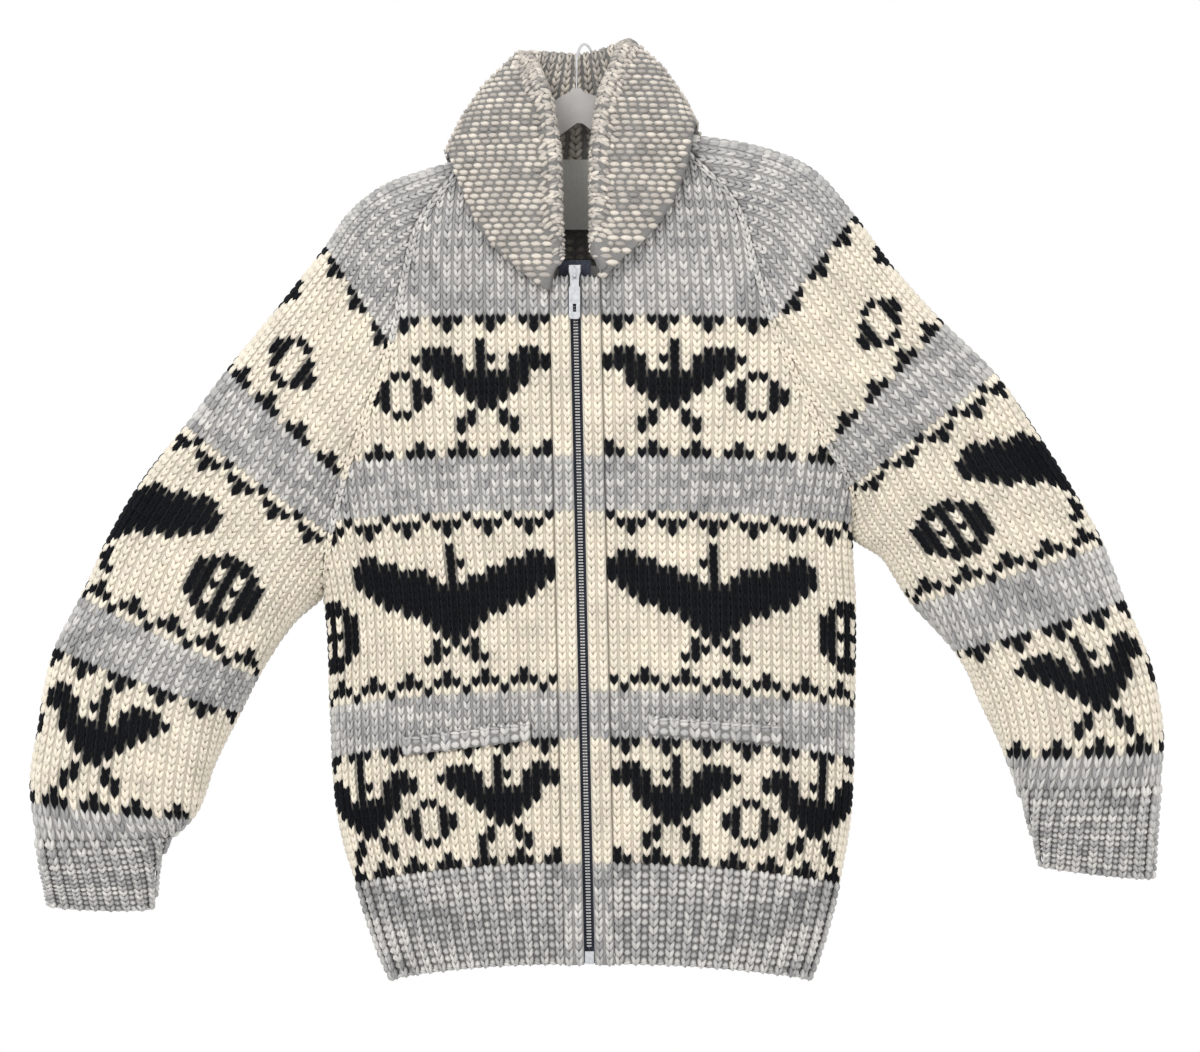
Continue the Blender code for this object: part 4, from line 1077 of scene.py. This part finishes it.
def stand_columns(surface, sides, crest, yarns):
    """Columns of stitches up the inside of the stand and over the fold."""
    middle = surface[:, 12]
    arc = np.concatenate(([0], np.cumsum(np.linalg.norm(np.diff(middle, axis=0), axis=1))))
    count = int(arc[-1] / STITCH)
    at = np.interp(np.linspace(0, arc[-1], count + 1), arc, np.arange(len(arc)))
    low = np.clip(at.astype(int), 0, len(surface) - 2)
    t = (at - low)[:, None, None]
    strips = surface[low] * (1 - t) + surface[low + 1] * t
    facing = sides[low] * (1 - t) + sides[low + 1] * t
    tops = crest[low]
    corners, normals, marks = [], [], []
    for k in range(count):
        top = int(max(tops[k], tops[k + 1])) + 1
        span = np.linalg.norm(np.diff(strips[k, :top + 1], axis=0), axis=1).sum()
        steps = max(2, int(span / ROW_PITCH))
        levels = np.linspace(0, top, steps + 1)
        index = np.arange(strips.shape[1])
        left = np.stack([np.interp(levels, index, strips[k, :, a]) for a in range(3)], axis=1)
        right = np.stack([np.interp(levels, index, strips[k + 1, :, a]) for a in range(3)], axis=1)
        normal = np.stack([np.interp(levels, index, facing[k, :, a]) for a in range(3)], axis=1)
        for j in range(steps):
            corners.append((left[j], right[j], left[j + 1], right[j + 1]))
            normals.append(normal[j] / np.linalg.norm(normal[j]))
            marks.append(j)
    yarns.add(corners, normals, np.full(len(corners), WARM), marks)


# ---------------------------------------------------------------- zip
def zip_teeth(side):
    """Moulded teeth at an even pitch; the two sides interlock."""
    end = "left" if side < 0 else "right"
    low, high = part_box(f"zip_teeth_{end}")
    seat = Vector(hook_seat()) * MM
    bottom = -(low.z + seat.z) / MM
    top = -(high.z + seat.z) / MM
    pitch = 2.6
    points, faces = [], []
    below = top + pitch / 2
    front = KNIT_WALL + 0.2 - TEETH_WALL
    while below < bottom - 1.2:
        x = zip_x(below)
        y = zip_front(below) + front
        near, far = sorted((x + side * 0.1, x + side * (TEETH_WIDTH - 0.6)))
        base = len(points)
        for face_y, inset in ((y, 0.3), (y + 0.5, 0.0), (y + 2.3, 0.0)):
            for px, pz in ((near + inset, -0.62 + inset), (far - inset, -0.62 + inset),
                           (far - inset, 0.62 - inset), (near + inset, 0.62 - inset)):
                points.append((px, face_y, -below + pz))
        faces.append((base, base + 1, base + 2, base + 3))
        faces.append((base + 11, base + 10, base + 9, base + 8))
        for layer in (0, 4):
            for k in range(4):
                n = (k + 1) % 4
                faces.append((base + layer + k, base + layer + 4 + k, base + layer + 4 + n, base + layer + n))
        below += pitch
    teeth = mesh_object(f"zip_teeth_{end}_row", np.array(points), faces, teeth_metal)
    teeth.data.shade_flat()
    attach(teeth, "sweater")
    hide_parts(f"zip_teeth_{end}")


teeth_metal = plain_material("teeth_metal", (0.55, 0.55, 0.56), (0.78, 0.78, 0.79), 900.0, 0.42)
tape_cloth = plain_material("tape_weave", (0.012, 0.015, 0.026),
                            (0.07, 0.08, 0.11), 1400.0, 0.9, 0.0, 0.0003, (1, 1, 0.35))
silver = plain_material("silver_metal", (0.52, 0.53, 0.55), (0.70, 0.71, 0.73), 260.0, 0.34, 1.0, 0.00005)
pull_metal = plain_material("pull_metal", (0.50, 0.51, 0.53), (0.68, 0.69, 0.71), 300.0, 0.36, 1.0, 0.00005)
label_weave = plain_material("label_weave", (0.60, 0.59, 0.54),
                             (0.74, 0.73, 0.68), 1200.0, 0.82, 0.0, 0.0002, (1, 1, 0.3))
# The hanger is white plastic, coloured grey here: painted shade for its place in shadow inside the cardigan
hanger_plastic = plain_material("hanger_plastic", (0.42, 0.40, 0.385),
                                (0.50, 0.48, 0.46), 60.0, 0.42, 0.0, 0.0001)
hook_steel = plain_material("hook_steel", (0.55, 0.55, 0.56), (0.72, 0.72, 0.73), 400.0, 0.25, 1.0)


def dress(node, made, bevel=0.0):
    """A CAD node keeps its shape and takes a finish; rounded edges where it is moulded or cast."""
    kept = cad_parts[node]
    kept.data.materials.clear()
    kept.data.materials.append(made)
    if bevel:
        soften = kept.modifiers.new("soft_edges", "BEVEL")
        soften.width = bevel
        soften.segments = 2
        soften.limit_method = "ANGLE"
        soften.angle_limit = math.radians(40)


for side in (-1, 1):
    knit_front(side)
knit_back()
for side in (-1, 1):
    knit_sleeve(side)
    knit_cuff(side)
    knit_band(side)
    knit_welt(side)
    zip_teeth(side)
knit_hem("hem_rib_left", (-1,), -1)
knit_hem("hem_rib_right", (1,), -1)
knit_hem("hem_rib_back", (-1, 1), 1)
knit_collar()
for node, made, bevel in (
        ("zip_tape_left", tape_cloth, 0.0), ("zip_tape_right", tape_cloth, 0.0), ("zip_box", silver, 0.0004),
        ("slider", silver, 0.0003), ("pull_tab", pull_metal, 0.0003), ("neck_label", label_weave, 0.0002),
        ("hanger_frame", hanger_plastic, 0.0018), ("hanger_hook", hook_steel, 0.0)):
    dress(node, made, bevel)


# ---------------------------------------------------------------- floor, light and camera
def area_light(name, place, aim, size, power):
    data = bpy.data.lights.new(name, "AREA")
    data.shape = "RECTANGLE"
    data.size, data.size_y = size
    data.energy = power
    made = bpy.data.objects.new(name, data)
    made.location = place
    made.rotation_euler = (Vector(aim) - Vector(place)).to_track_quat("-Z", "Y").to_euler()
    bpy.context.scene.collection.objects.link(made)


floor_mesh = bpy.data.meshes.new("floor")
floor_mesh.from_pydata([(-3, -3, -1.7), (3, -3, -1.7), (3, 3, -1.7), (-3, 3, -1.7)], [], [(0, 1, 2, 3)])
floor = bpy.data.objects.new("floor", floor_mesh)
bpy.context.scene.collection.objects.link(floor)
floor_mesh.materials.append(plain_material("floor_pale", (0.84, 0.84, 0.84), (0.88, 0.88, 0.88), 3.0, 0.9))

world = bpy.data.worlds.new("studio")
world.use_nodes = True
world.node_tree.nodes["Background"].inputs["Color"].default_value = (1, 1, 1, 1)
world.node_tree.nodes["Background"].inputs["Strength"].default_value = 1.0
bpy.context.scene.world = world
bpy.context.scene.view_settings.view_transform = "Standard"
area_light("key", (-1.3, -2.2, 1.1), (0, 0, -0.4), (1.4, 1.4), 34.0)
area_light("fill", (1.8, -1.8, 0.3), (0, 0, -0.4), (1.6, 1.6), 12.0)

camera_data = bpy.data.cameras.new("camera")
camera_data.sensor_width = 36.0
camera_data.lens = 85.2
camera = bpy.data.objects.new("camera", camera_data)
camera.location = (0.01262, -2.5357, -0.4286)
camera.rotation_euler = (math.radians(90), 0, 0)
bpy.context.scene.collection.objects.link(camera)
bpy.context.scene.camera = camera
